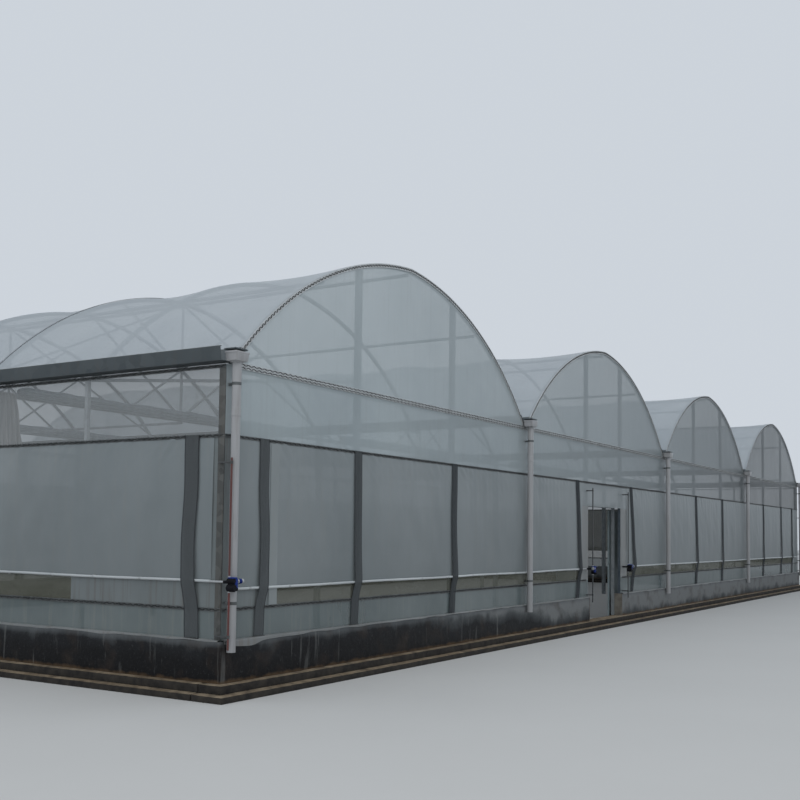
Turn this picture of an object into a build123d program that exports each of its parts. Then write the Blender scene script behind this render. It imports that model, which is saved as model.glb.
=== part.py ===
"""Gutter-connected multi-span film greenhouse, built from the ground up.

Millimetres. X runs along the front gable, Y from the front gable to the back, Z up from the ground.
The origin is on the ground under the middle of the house. Spans lie side by side along X, bays follow
each other along Y, and the frame line of a wall is the centre line of its main columns.
"""

import os
from math import acos, cos, sin, sqrt

from build123d import *

os.makedirs("parts", exist_ok=True)

# House
SPAN = 8000.0  # gutter to gutter
SPANS = 4
BAY = 2250.0  # arch to arch
BAYS = 6
BAYS_PER_MAIN = 2  # a main frame with columns and a truss stands at every second arch
WIDTH = SPAN * SPANS
DEPTH = BAY * BAYS

# Masonry
FOOTING_LOW_REACH = 320.0  # from the frame line outwards
FOOTING_LOW_TOP = 80.0
FOOTING_HIGH_REACH = 200.0
FOOTING_TOP = 180.0
PLINTH_OUT = 100.0
PLINTH_THICK = 240.0
PLINTH_TOP = 650.0

# Steel
COLUMN = 100.0
POST_WIDE = 100.0
POST_DEEP = 60.0
SIDE_POST = 50.0
MEMBER_FACE = COLUMN / 2  # outer face of every wall member, from the frame line
TIE = 60.0
SPRING_TOP = 3800.0  # tops of columns and ties, where the arches stand
TUBE = 40.0  # braces and rails
WEB_TUBE = 30.0
PURLIN = 40.0
HAUNCH_PURLIN_X = 0.235 * SPAN  # from the valley line

# Arch, two halves that each have their own centre
ARCH_RADIUS = 0.7 * SPAN
ARCH_CENTRE_PAST = 0.0375 * SPAN  # how far a half's centre lies past the middle of the span
ARCH_TUBE = 60.0
ARCH_STEPS = 8
VALLEY_TRIM = 12.0  # arch feet stay this far from the valley line

# Gutter
GUTTER_BOTTOM = 3865.0
GUTTER_TOP = 4030.0
GUTTER_WALL = 5.0
EAVE_LIP_Z = 3990.0
EAVE_LIP_OUT = 190.0  # from the valley line to the eave gutter's outer face
EAVE_FLOOR_Z = 3828.0
EAVE_LEAN = 20.0  # how much nearer the foot of that face is
EAVE_LIP = 24.0  # folded edge on top of it
GUTTER_PAST = 75.0  # how far it runs past the frame line of the gable

# Skins and what locks them
FIT = 0.3  # pieces that lie on each other
FILM = 6.0
CHANNEL = 10.0
CHANNEL_WIDE = 40.0
CHORD_CHANNEL = 70.0
LOW_LOCK_Z = 1000.0
MID_LOCK_Z = 2980.0
CHORD_LOCK_Z = 3845.0
CHORD_LOCK_SET = 50.0  # it ends beside the eave gutters
ROLL_PIPE = 30.0
ROLL_Z_GABLE = 1230.0
ROLL_Z_SIDE = 1320.0
STRAP_WIDE = 180.0
STRAP_THICK = 3.0
STRAPS_FRONT = [0.081, 0.331, 0.671, 1.306, 1.7, 2.341, 2.673, 3.313, 3.65, 3.875]  # in spans from the left
STRAPS_SIDE = [0.19, 2.81, 5.81]  # in bays from the front

# Doorway
DOOR_MIDDLE = 1.5 * SPAN  # from the left frame line
DOOR_CLEAR = 1900.0  # between the ends of the plinth
DOOR_TOP = 2500.0
DOOR_STRIP = 300.0  # fixed film beside the door posts
JAMB = 60.0
LEAF_THICK = 40.0
LEAF_WIDE = 920.0
LEAF_BOTTOM = 60.0
LEAF_TOP = 2460.0
LEAF_STILE = 60.0
LEAF_PANEL = 10.0
HINGE_IN = 200.0  # hinge axis, from the frame line inwards
HINGE_GAP = 15.0  # from the axis to the leaf's edge
HINGE_SET = 5.0  # from the axis to the leaf's near face
PIN_RADIUS = 6.0
PIN_PLAY = 0.08
EYE_RADIUS = 11.0
EYE_TALL = 50.0
LUG_HALF = 9.0
LUG_THICK = 8.0
HINGE_ZS = [500.0, 1300.0, 2150.0]

# Rain water
PIPE_RADIUS = 55.0
PIPE_OUT = 165.0
PIPE_FOOT = 530.0
HOPPER_WIDE = 240.0
HOPPER_DEEP = 180.0
HOPPER_TOP = 3980.0
HOPPER_BOTTOM = 3832.0
HOPPER_WALL = 6.0

# Crank motors of the curtains
POLE_RADIUS = 12.5
POLE_OUT = 195.0
POLE_BESIDE = 90.0  # corner pole, outside the side wall's frame line
POLE_FOOT = 560.0
CORNER_POLE_TOP = 2720.0
DOOR_POLE_TOP = 2860.0
DOOR_POLE_X = 100.0  # from the end of the plinth into the wall
ARM = 25.0
GEARBOX_HALF = 32.0
GEARBOX_TALL = 140.0
GEARBOX_OUT = 285.0
MOTOR_RADIUS = 30.0
MOTOR_LONG = 130.0

# Sides of the round sections that nothing turns in
PIPE_SIDES = 16
ROD_SIDES = 12
POLE_SIDES = 8

# Gathered cloth inside
SCREEN_RADIUS = 88.0
SCREEN_SET = 600.0  # from the valley line
SCREEN_ABOVE = 30.0  # its middle, over the tops of the ties
HANGING_TOP = (200.0, 560.0)  # from the left frame line
HANGING_FOOT = (80.0, 680.0)
HANGING_TALL = 850.0
HANGING_DEEP = 170.0

LEFT = -WIDTH / 2
RIGHT = WIDTH / 2
FRONT = -DEPTH / 2
BACK = DEPTH / 2
SKIN_IN = MEMBER_FACE + FIT
SKIN_OUT = SKIN_IN + FILM
LOCK_IN = SKIN_OUT + FIT
LOCK_OUT = LOCK_IN + CHANNEL
CURTAIN_IN = LOCK_IN + FIT
PIPE_AXIS_OUT = CURTAIN_IN + ROLL_PIPE / 2
PLINTH_IN = PLINTH_OUT - PLINTH_THICK
FRAME_YS = [FRONT + BAY * i for i in range(BAYS + 1)]
VALLEY_XS = [LEFT + SPAN * i for i in range(SPANS + 1)]
SPAN_XS = VALLEY_XS[:-1]
DOOR_X = LEFT + DOOR_MIDDLE
DOOR_EDGES = [DOOR_X - DOOR_CLEAR / 2, DOOR_X + DOOR_CLEAR / 2]


def slab(xs, ys, zs):
    """A box between low and high limits, added to the open part."""
    with Locations((sum(xs) / 2, sum(ys) / 2, sum(zs) / 2)):
        Box(xs[1] - xs[0], ys[1] - ys[0], zs[1] - zs[0])


def wall_slab(wall, along, out, zs):
    """A box on one wall: its stretch along the wall, its depth outwards from the frame line, its heights."""
    if wall == "front":
        slab(along, (FRONT - out[1], FRONT - out[0]), zs)
    if wall == "back":
        slab(along, (BACK + out[0], BACK + out[1]), zs)
    if wall == "left":
        slab((LEFT - out[1], LEFT - out[0]), along, zs)
    if wall == "right":
        slab((RIGHT + out[0], RIGHT + out[1]), along, zs)


def wall_limits(wall):
    """Where a wall's skins begin and end: to the outer faces of the corner columns."""
    if wall in ("front", "back"):
        return (LEFT - MEMBER_FACE, RIGHT + MEMBER_FACE)
    return (FRONT - MEMBER_FACE, BACK + MEMBER_FACE)


def section_at(y):
    """The upright plane across the house at y, facing the front."""
    return Plane.XZ.offset(-y)


def keep(piece, name):
    """Labels a finished sub-part and writes it."""
    piece.part.label = name
    export_step(piece.part, f"parts/{name}.step")


def arch_angles():
    """Angles of the arch's steps, from the valley line to the ridge, about the left half's centre."""
    low = acos((SPAN / 2 + ARCH_CENTRE_PAST) / ARCH_RADIUS)
    high = acos(ARCH_CENTRE_PAST / ARCH_RADIUS)
    return [low + (high - low) * i / ARCH_STEPS for i in range(ARCH_STEPS + 1)]


def arch_line(inward):
    """Points of the left half of an arch, a distance inside its outer line, from the valley line up."""
    rise = sqrt(ARCH_RADIUS**2 - (SPAN / 2 + ARCH_CENTRE_PAST) ** 2)
    centre_z = SPRING_TOP - rise
    radius = ARCH_RADIUS - inward
    middle = SPAN / 2 + ARCH_CENTRE_PAST
    return [(middle - radius * cos(a), centre_z + radius * sin(a)) for a in arch_angles()]


def mirrored(points):
    """The same points on the right half of the span."""
    return [(SPAN - x, z) for x, z in points]


def first_run_x(z, shift):
    """Where the arch's lowest run, moved outwards by a shift, is at a height."""
    (x0, z0), (x1, z1) = arch_line(0)[:2]
    slope = (x1 - x0) / (z1 - z0)
    across = shift * sqrt(1 + slope**2)
    return x0 + (z - z0) * slope - across


def arch_strips(outer, inner, foot_z, right_half):
    """Half of every arch as a strip between two depths inside the outer line, down to a foot height."""
    points = arch_line(outer) + arch_line(inner)[::-1]
    if right_half:
        points = mirrored(points)
    for x in SPAN_XS:
        Polygon(*[(x + px, pz) for px, pz in points], align=None)
    other_half = SPAN / 2 + FIT / 2 + VALLEY_TRIM
    other_xs = [x - VALLEY_TRIM if right_half else x + SPAN / 2 - FIT / 2 for x in SPAN_XS]
    with Locations(*[(x, foot_z) for x in other_xs]):
        Rectangle(other_half, SPAN, align=(Align.MIN, Align.MIN), mode=Mode.SUBTRACT)
    with Locations(*[(x, foot_z) for x in VALLEY_XS]):
        Rectangle(2 * VALLEY_TRIM, SPAN, align=(Align.CENTER, Align.MIN), mode=Mode.SUBTRACT)
    with Locations((0, foot_z)):
        Rectangle(2 * WIDTH, SPAN, align=(Align.CENTER, Align.MAX), mode=Mode.SUBTRACT)


def cut_above_arches(depth):
    """Takes away what rises above a line inside all the arches."""
    line = arch_line(depth)
    roof = [(LEFT - SPAN, 2 * SPAN), (LEFT - SPAN, line[0][1])]
    for x in SPAN_XS:
        roof += [(x + px, pz) for px, pz in line + mirrored(line)[::-1]]
    roof += [(RIGHT + SPAN, line[0][1]), (RIGHT + SPAN, 2 * SPAN)]
    Polygon(*roof, align=None, mode=Mode.SUBTRACT)


def cut_below(z):
    """Takes away what hangs below a height."""
    with Locations((0, z)):
        Rectangle(2 * WIDTH, SPAN, align=(Align.CENTER, Align.MAX), mode=Mode.SUBTRACT)


# Footing, a stepped kerb under each wall
def footing_profile():
    """The stepped section, x outwards from the frame line, y up."""
    return [
        (PLINTH_IN, 0),
        (FOOTING_LOW_REACH, 0),
        (FOOTING_LOW_REACH, FOOTING_LOW_TOP),
        (FOOTING_HIGH_REACH, FOOTING_LOW_TOP),
        (FOOTING_HIGH_REACH, FOOTING_TOP),
        (PLINTH_IN, FOOTING_TOP),
    ]


with BuildPart() as footing_front:
    with BuildSketch(Plane.YZ.offset(LEFT - FOOTING_LOW_REACH)):
        Polygon(*[(FRONT - n, z) for n, z in footing_profile()], align=None)
    extrude(amount=WIDTH + 2 * FOOTING_LOW_REACH)
keep(footing_front, "footing_front")

with BuildPart() as footing_back:
    with BuildSketch(Plane.YZ.offset(LEFT - FOOTING_LOW_REACH)):
        Polygon(*[(BACK + n, z) for n, z in footing_profile()], align=None)
    extrude(amount=WIDTH + 2 * FOOTING_LOW_REACH)
keep(footing_back, "footing_back")

SIDE_RUN = DEPTH + 2 * PLINTH_IN - 2 * FIT
with BuildPart() as footing_left:
    with BuildSketch(section_at(SIDE_RUN / 2)):
        Polygon(*[(LEFT - n, z) for n, z in footing_profile()], align=None)
    extrude(amount=SIDE_RUN)
keep(footing_left, "footing_left")

with BuildPart() as footing_right:
    with BuildSketch(section_at(SIDE_RUN / 2)):
        Polygon(*[(RIGHT + n, z) for n, z in footing_profile()], align=None)
    extrude(amount=SIDE_RUN)
keep(footing_right, "footing_right")

# Plinth, the rendered brick knee wall, open at the doorway
PLINTH_ZS = (FOOTING_TOP, PLINTH_TOP)
PLINTH_OUTS = (PLINTH_IN, PLINTH_OUT)

with BuildPart() as plinth_front_left:
    wall_slab("front", (LEFT - PLINTH_OUT, DOOR_EDGES[0]), PLINTH_OUTS, PLINTH_ZS)
keep(plinth_front_left, "plinth_front_left")

with BuildPart() as plinth_front_right:
    wall_slab("front", (DOOR_EDGES[1], RIGHT + PLINTH_OUT), PLINTH_OUTS, PLINTH_ZS)
keep(plinth_front_right, "plinth_front_right")

with BuildPart() as plinth_back:
    wall_slab("back", (LEFT - PLINTH_OUT, RIGHT + PLINTH_OUT), PLINTH_OUTS, PLINTH_ZS)
keep(plinth_back, "plinth_back")

with BuildPart() as plinth_left:
    wall_slab("left", (-SIDE_RUN / 2, SIDE_RUN / 2), PLINTH_OUTS, PLINTH_ZS)
keep(plinth_left, "plinth_left")

with BuildPart() as plinth_right:
    wall_slab("right", (-SIDE_RUN / 2, SIDE_RUN / 2), PLINTH_OUTS, PLINTH_ZS)
keep(plinth_right, "plinth_right")

# Columns at both gables, on the plinth
COLUMN_TOP = SPRING_TOP - FIT
with BuildPart() as end_columns:
    with BuildSketch(Plane.XY.offset(PLINTH_TOP)):
        with Locations(*[(x, y) for x in VALLEY_XS for y in (FRONT, BACK)]):
            Rectangle(COLUMN, COLUMN)
    extrude(amount=COLUMN_TOP - PLINTH_TOP)
keep(end_columns, "end_columns")

# Columns of the main frames under the valleys, down to the ground
MAIN_YS = FRAME_YS[BAYS_PER_MAIN:-1:BAYS_PER_MAIN]
with BuildPart() as inner_columns:
    with BuildSketch(Plane.XY):
        with Locations(*[(x, y) for x in VALLEY_XS[1:-1] for y in MAIN_YS]):
            Rectangle(COLUMN, COLUMN)
    extrude(amount=COLUMN_TOP)
keep(inner_columns, "inner_columns")


def side_post_spots():
    """Centres of the eave posts: full columns at the main frames, lighter posts between them."""
    spots = []
    for y in FRAME_YS[1:-1]:
        size = COLUMN if y in MAIN_YS else SIDE_POST
        set_in = MEMBER_FACE - size / 2
        spots.append((LEFT - set_in, y, size))
        spots.append((RIGHT + set_in, y, size))
    return spots


with BuildPart() as side_posts:
    for x, y, size in side_post_spots():
        with BuildSketch(Plane.XY.offset(PLINTH_TOP)):
            with Locations((x, y)):
                Rectangle(size, size)
        extrude(amount=COLUMN_TOP - PLINTH_TOP)
keep(side_posts, "side_posts")


# Gable posts, at the thirds of each span and beside the doorway, up to the arch
def gable_post_xs(wall):
    """Centres of the posts between the columns of a gable."""
    xs = [x + SPAN * third / 3 for x in SPAN_XS for third in (1, 2)]
    if wall == "back":
        return xs
    door_span = SPAN_XS[int(DOOR_MIDDLE // SPAN)]
    xs = [x for x in xs if not door_span < x < door_span + SPAN]
    return sorted(xs + [DOOR_EDGES[0] - POST_WIDE / 2, DOOR_EDGES[1] + POST_WIDE / 2])


def posts_profile(wall):
    """Upright strips of the gable posts, cut off under the arches."""
    with Locations(*[(x, PLINTH_TOP) for x in gable_post_xs(wall)]):
        Rectangle(POST_WIDE, SPAN, align=(Align.CENTER, Align.MIN))
    cut_above_arches(ARCH_TUBE + FIT)


with BuildPart() as gable_posts:
    with BuildSketch(section_at(FRONT - MEMBER_FACE + POST_DEEP)):
        posts_profile("front")
    extrude(amount=POST_DEEP)
    with BuildSketch(section_at(BACK + MEMBER_FACE)):
        posts_profile("back")
    extrude(amount=POST_DEEP)
keep(gable_posts, "gable_posts")


# Chords of the gables, tubes between columns and posts
def chord_stretches(wall):
    """Free stretches between the columns and posts of a gable."""
    stops = [(x, COLUMN / 2) for x in VALLEY_XS]
    stops += [(x, POST_WIDE / 2) for x in gable_post_xs(wall)]
    stops.sort()
    pairs = zip(stops[:-1], stops[1:])
    return [(a + half_a + FIT, b - half_b - FIT) for (a, half_a), (b, half_b) in pairs]


with BuildPart() as gable_chords:
    for wall in ("front", "back"):
        for stretch in chord_stretches(wall):
            chord_zs = (SPRING_TOP - FIT - TIE, SPRING_TOP - FIT)
            wall_slab(wall, stretch, (MEMBER_FACE - TIE, MEMBER_FACE), chord_zs)
keep(gable_chords, "gable_chords")

# Ties of the main frames
with BuildPart() as truss_ties:
    for x in SPAN_XS:
        for y in MAIN_YS:
            reach = COLUMN / 2 + FIT
            slab((x + reach, x + SPAN - reach), (y - TIE / 2, y + TIE / 2), (COLUMN_TOP - TIE, COLUMN_TOP))
keep(truss_ties, "truss_ties")


# Arches, two halves that meet at the ridge
def arch_ys():
    """Middles of the arch tubes: those of the gables stand flush with the walls' face."""
    set_out = MEMBER_FACE - ARCH_TUBE / 2
    return [FRONT - set_out] + FRAME_YS[1:-1] + [BACK + set_out]


with BuildPart() as arches_left:
    for y in arch_ys():
        with BuildSketch(section_at(y)):
            arch_strips(0, ARCH_TUBE, SPRING_TOP, False)
    extrude(amount=ARCH_TUBE / 2, both=True)
keep(arches_left, "arches_left")

with BuildPart() as arches_right:
    for y in arch_ys():
        with BuildSketch(section_at(y)):
            arch_strips(0, ARCH_TUBE, SPRING_TOP, True)
    extrude(amount=ARCH_TUBE / 2, both=True)
keep(arches_right, "arches_right")

# Webs of the main frames, straight members between tie and arch, from a half span's valley line
WEBS = [
    ((0.5 * SPAN, 3800.0), (0.241875 * SPAN, 5240.0)),  # from the middle of the tie to the haunch
    ((0.65625 * SPAN, 3800.0), (0.30625 * SPAN, 5650.0)),  # crosses the king post
    ((0.0125 * SPAN, 3960.0), (0.4975 * SPAN, 5740.0)),  # follows the arch from eave to ridge
]
KING_POST = 36.0


def member(a, b):
    """A straight web as a strip between two points, a little longer than they are apart."""
    (x0, z0), (x1, z1) = a, b
    long = sqrt((x1 - x0) ** 2 + (z1 - z0) ** 2)
    across_x = WEB_TUBE / 2 * (z1 - z0) / long
    across_z = WEB_TUBE / 2 * (x1 - x0) / long
    Polygon(
        (x0 - across_x, z0 + across_z),
        (x0 + across_x, z0 - across_z),
        (x1 + across_x, z1 - across_z),
        (x1 - across_x, z1 + across_z),
        align=None,
    )


def web_profile():
    """The webs and the king post of every span, cut to the tie and the arch."""
    for x in SPAN_XS:
        for (ax, az), (bx, bz) in WEBS:
            member((x + ax, az), (x + bx, bz))
            member((x + SPAN - ax, az), (x + SPAN - bx, bz))
        with Locations((x + SPAN / 2, SPRING_TOP)):
            Rectangle(KING_POST, SPAN, align=(Align.CENTER, Align.MIN))
    cut_above_arches(ARCH_TUBE + FIT)
    cut_below(SPRING_TOP)
    with Locations(*[(x + SPAN / 2, purlin_top(SPAN / 2) - PURLIN - FIT) for x in SPAN_XS]):
        Rectangle(PURLIN + 2 * FIT, 2 * PURLIN, align=(Align.CENTER, Align.MIN), mode=Mode.SUBTRACT)


# Purlins, under the arches at the ridge and both haunches
def arch_under_z(x):
    """Height of the arch tube's underside at a distance from the valley line, on its steps."""
    line = arch_line(ARCH_TUBE)
    x = min(x, SPAN - x)
    for (x0, z0), (x1, z1) in zip(line[:-1], line[1:]):
        if x0 <= x <= x1:
            return z0 + (z1 - z0) * (x - x0) / (x1 - x0)
    return line[-1][1]


def purlin_top(x):
    """Top of a level purlin whose higher corner touches the sloping arch, a fit below it."""
    low_side = min(x, SPAN - x) - PURLIN / 2
    return arch_under_z(low_side) - FIT


with BuildPart() as truss_webs:
    for y in MAIN_YS:
        with BuildSketch(section_at(y)):
            web_profile()
    extrude(amount=WEB_TUBE / 2, both=True)
keep(truss_webs, "truss_webs")

with BuildPart() as purlins:
    for x in SPAN_XS:
        for px in (HAUNCH_PURLIN_X, SPAN / 2, SPAN - HAUNCH_PURLIN_X):
            top = purlin_top(px)
            ends = (FRONT - MEMBER_FACE + ARCH_TUBE, BACK + MEMBER_FACE - ARCH_TUBE)
            slab((x + px - PURLIN / 2, x + px + PURLIN / 2), ends, (top - PURLIN, top))
keep(purlins, "purlins")

# Wind braces, level tubes across the corners from the first gable post to the foot of the main arch
BRACE_ZS = (3935.0, 3975.0)
BRACE_END_X = 190.0  # where it meets the arch's foot, from the valley line


def brace_points(side, end):
    """A brace's plan: cut along the post's back at one end and along the arch's face at the other."""
    post_x = SPAN / 3
    post_y = POST_DEEP - MEMBER_FACE + FIT
    arch_y = BAY * BAYS_PER_MAIN - ARCH_TUBE / 2 - FIT
    run_x = post_x - BRACE_END_X
    run_y = arch_y - post_y
    half_x = TUBE / 2 * sqrt(run_x**2 + run_y**2) / run_y
    plan = [
        (post_x - half_x, post_y),
        (post_x + half_x, post_y),
        (BRACE_END_X + half_x, arch_y),
        (BRACE_END_X - half_x, arch_y),
    ]
    return [(side * (LEFT + x), end * (FRONT + y)) for x, y in plan]


with BuildPart() as wind_braces:
    with BuildSketch(Plane.XY.offset(BRACE_ZS[0])):
        for side in (1, -1):
            for end in (1, -1):
                Polygon(*brace_points(side, end), align=None)
    extrude(amount=BRACE_ZS[1] - BRACE_ZS[0])
keep(wind_braces, "wind_braces")

# Rails under the middles of the ties, from main frame to main frame
RAIL_TOP = COLUMN_TOP - TIE - FIT
with BuildPart() as centre_rails:
    for x in SPAN_XS:
        rail_xs = (x + SPAN / 2 - TUBE / 2, x + SPAN / 2 + TUBE / 2)
        slab(rail_xs, (MAIN_YS[0] - TIE / 2, MAIN_YS[-1] + TIE / 2), (RAIL_TOP - TUBE, RAIL_TOP))
keep(centre_rails, "centre_rails")


# Gutters, folded troughs that lie on the lowest runs of the arches
def gutter_side(shift, low_z, top_z):
    """One side of the trough, from its bottom to its lip."""
    return [(first_run_x(low_z, shift), low_z), (first_run_x(top_z, shift), top_z)]


def gutter_profile():
    """The trough's folded section about its valley line."""
    outer = gutter_side(FIT, GUTTER_BOTTOM, GUTTER_TOP)
    inner = gutter_side(FIT + GUTTER_WALL, GUTTER_BOTTOM + GUTTER_WALL, GUTTER_TOP)
    right = outer + inner[::-1]
    left = [(-x, z) for x, z in right[::-1]]
    return right + left


def eave_profile(side):
    """The eave's trough: it leans on the arch on one side and has a folded lip on the other."""
    inner_side = gutter_side(FIT, EAVE_FLOOR_Z, GUTTER_TOP)
    foot_out = EAVE_LEAN - EAVE_LIP_OUT
    outside = [
        (EAVE_LIP - EAVE_LIP_OUT, EAVE_LIP_Z),
        (-EAVE_LIP_OUT, EAVE_LIP_Z),
        (foot_out, EAVE_FLOOR_Z),
    ]
    hollow = [
        (first_run_x(GUTTER_TOP, FIT + GUTTER_WALL), GUTTER_TOP),
        (first_run_x(EAVE_FLOOR_Z + GUTTER_WALL, FIT + GUTTER_WALL), EAVE_FLOOR_Z + GUTTER_WALL),
        (foot_out + GUTTER_WALL, EAVE_FLOOR_Z + GUTTER_WALL),
        (GUTTER_WALL - EAVE_LIP_OUT, EAVE_LIP_Z - GUTTER_WALL),
        (EAVE_LIP - EAVE_LIP_OUT, EAVE_LIP_Z - GUTTER_WALL),
    ]
    return [(side * x, z) for x, z in outside + inner_side + hollow]


with BuildPart() as gutters:
    with BuildSketch(section_at(BACK + GUTTER_PAST)):
        for x in VALLEY_XS[1:-1]:
            Polygon(*[(x + px, pz) for px, pz in gutter_profile()], align=None)
        Polygon(*[(LEFT + px, pz) for px, pz in eave_profile(1)], align=None)
        Polygon(*[(RIGHT + px, pz) for px, pz in eave_profile(-1)], align=None)
    extrude(amount=DEPTH + 2 * GUTTER_PAST)
keep(gutters, "gutters")


# Lock channels: straight ones on the walls and bent ones along the edge of each gable arch
def lock_stretches(wall, z):
    """Stretches of a lock channel at a height, broken at the doorway where it would cross it."""
    low, high = wall_limits(wall)
    if z > MID_LOCK_Z and wall in ("front", "back"):
        return [(LEFT + CHORD_LOCK_SET, RIGHT - CHORD_LOCK_SET)]
    if wall == "front" and z < DOOR_TOP:
        return [(low, DOOR_EDGES[0] - POST_WIDE), (DOOR_EDGES[1] + POST_WIDE, high)]
    return [(low, high)]


with BuildPart() as lock_channels:
    for wall in ("front", "back", "left", "right"):
        heights = [(LOW_LOCK_Z, CHANNEL_WIDE), (MID_LOCK_Z, CHANNEL_WIDE)]
        if wall in ("front", "back"):
            heights.append((CHORD_LOCK_Z - CHORD_CHANNEL / 2, CHORD_CHANNEL))
        else:
            heights.append((SPRING_TOP - CHANNEL_WIDE / 2 - FIT, CHANNEL_WIDE))
        for z, tall in heights:
            for stretch in lock_stretches(wall, z):
                wall_slab(wall, stretch, (LOCK_IN, LOCK_OUT), (z - tall / 2, z + tall / 2))
    for y in (FRONT - LOCK_IN, BACK + LOCK_OUT):
        for right_half in (False, True):
            with BuildSketch(section_at(y)):
                arch_strips(0, CHANNEL_WIDE, CHORD_LOCK_Z + FIT, right_half)
    extrude(amount=CHANNEL)
keep(lock_channels, "lock_channels")


# Roof film, half a span at a time, from the gutter's lip to the ridge
with BuildPart() as roof_film_left:
    with BuildSketch(section_at(BACK + LOCK_OUT)):
        arch_strips(-FIT - FILM, -FIT, GUTTER_TOP + FIT, False)
    extrude(amount=DEPTH + 2 * LOCK_OUT)
keep(roof_film_left, "roof_film_left")

with BuildPart() as roof_film_right:
    with BuildSketch(section_at(BACK + LOCK_OUT)):
        arch_strips(-FIT - FILM, -FIT, GUTTER_TOP + FIT, True)
    extrude(amount=DEPTH + 2 * LOCK_OUT)
keep(roof_film_right, "roof_film_right")


# Gable film, from the chord up to the arch
def gable_panes():
    """The arched pane over the chord of every span."""
    line = arch_line(0)
    for x in SPAN_XS:
        roof = [(x + px, pz) for px, pz in line + mirrored(line)[::-1]]
        Polygon(*roof, align=None)
    with Locations(*[(x, SPRING_TOP) for x in VALLEY_XS]):
        Rectangle(2 * VALLEY_TRIM, SPAN, mode=Mode.SUBTRACT)


with BuildPart() as gable_film_front:
    with BuildSketch(section_at(FRONT - SKIN_IN)):
        gable_panes()
    extrude(amount=FILM)
keep(gable_film_front, "gable_film_front")

with BuildPart() as gable_film_back:
    with BuildSketch(section_at(BACK + SKIN_OUT)):
        gable_panes()
    extrude(amount=FILM)
keep(gable_film_back, "gable_film_back")

# Clear film between the chord and the curtain's lock, and over the doorway
SEAM = 2.0  # panes end this far from the middle of the lock that covers the joint
with BuildPart() as band_films:
    for wall in ("front", "back", "left", "right"):
        wall_slab(wall, wall_limits(wall), (SKIN_IN, SKIN_OUT), (MID_LOCK_Z + SEAM, SPRING_TOP - SEAM))
keep(band_films, "band_films")

DOOR_PANE_EDGES = [DOOR_EDGES[0] - POST_WIDE - DOOR_STRIP, DOOR_EDGES[1] + POST_WIDE + DOOR_STRIP]
with BuildPart() as door_film:
    wall_slab("front", DOOR_PANE_EDGES, (SKIN_IN, SKIN_OUT), (DOOR_TOP, MID_LOCK_Z - SEAM))
keep(door_film, "door_film")


# Insect net behind the curtains, and the skirt under it
def low_stretches(wall):
    """Stretches of the lower skins, which the doorway and its fixed strips break."""
    low, high = wall_limits(wall)
    if wall == "front":
        return [(low, DOOR_EDGES[0]), (DOOR_EDGES[1], high)]
    return [(low, high)]


def net_stretches(wall):
    """Stretches of net: it stops at the fixed film beside the door."""
    low, high = wall_limits(wall)
    if wall == "front":
        return [(low, DOOR_PANE_EDGES[0] - SEAM), (DOOR_PANE_EDGES[1] + SEAM, high)]
    return [(low, high)]


with BuildPart() as insect_nets:
    for wall in ("front", "back", "left", "right"):
        for stretch in net_stretches(wall):
            wall_slab(wall, stretch, (SKIN_IN, SKIN_OUT), (LOW_LOCK_Z + SEAM, MID_LOCK_Z - SEAM))
keep(insect_nets, "insect_nets")

with BuildPart() as skirt_films:
    for wall in ("front", "back", "left", "right"):
        for stretch in low_stretches(wall):
            wall_slab(wall, stretch, (SKIN_IN, SKIN_OUT), (PLINTH_TOP + FIT, LOW_LOCK_Z - SEAM))
keep(skirt_films, "skirt_films")

with BuildPart() as door_strips:
    for low, high in ((DOOR_PANE_EDGES[0], DOOR_EDGES[0]), (DOOR_EDGES[1], DOOR_PANE_EDGES[1])):
        wall_slab("front", (low, high), (SKIN_IN, SKIN_OUT), (LOW_LOCK_Z + SEAM, DOOR_TOP - SEAM))
keep(door_strips, "door_strips")


# Curtains that roll up on a pipe, held in the middle lock
def curtain(wall, stretch, roll_z):
    """A curtain's hanging sheet, from the lock's lower edge down to the back of its pipe."""
    seat = sqrt((ROLL_PIPE / 2) ** 2 - (ROLL_PIPE / 2 - FILM) ** 2)
    heights = (roll_z + seat + FIT, MID_LOCK_Z - CHANNEL_WIDE / 2 - FIT)
    wall_slab(wall, stretch, (CURTAIN_IN, CURTAIN_IN + FILM), heights)


FRONT_CURTAINS = [
    (LEFT + COLUMN, DOOR_PANE_EDGES[0] + CHANNEL_WIDE),
    (DOOR_PANE_EDGES[1] - CHANNEL_WIDE, RIGHT - COLUMN),
]
BACK_CURTAIN = (LEFT + COLUMN, RIGHT - COLUMN)
SIDE_CURTAIN = (FRONT + COLUMN, BACK - COLUMN)

with BuildPart() as curtains_front:
    for stretch in FRONT_CURTAINS:
        curtain("front", stretch, ROLL_Z_GABLE)
keep(curtains_front, "curtains_front")

with BuildPart() as curtain_back:
    curtain("back", BACK_CURTAIN, ROLL_Z_GABLE)
keep(curtain_back, "curtain_back")

with BuildPart() as curtain_left:
    curtain("left", SIDE_CURTAIN, ROLL_Z_SIDE)
keep(curtain_left, "curtain_left")

with BuildPart() as curtain_right:
    curtain("right", SIDE_CURTAIN, ROLL_Z_SIDE)
keep(curtain_right, "curtain_right")

# Roll pipes, one under each curtain, run on to their motors
DOOR_POLES = [DOOR_EDGES[0] - DOOR_POLE_X, DOOR_EDGES[1] + DOOR_POLE_X]
CORNER_POLES = [LEFT - POLE_BESIDE, RIGHT + POLE_BESIDE]


def roll_pipe_along_x(x0, x1, y, z):
    """A level pipe along a gable."""
    with BuildSketch(Plane.YZ.offset(x0)) as section:
        with Locations((y, z)):
            RegularPolygon(ROLL_PIPE / 2, ROD_SIDES)
    extrude(section.sketch, amount=x1 - x0)


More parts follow.
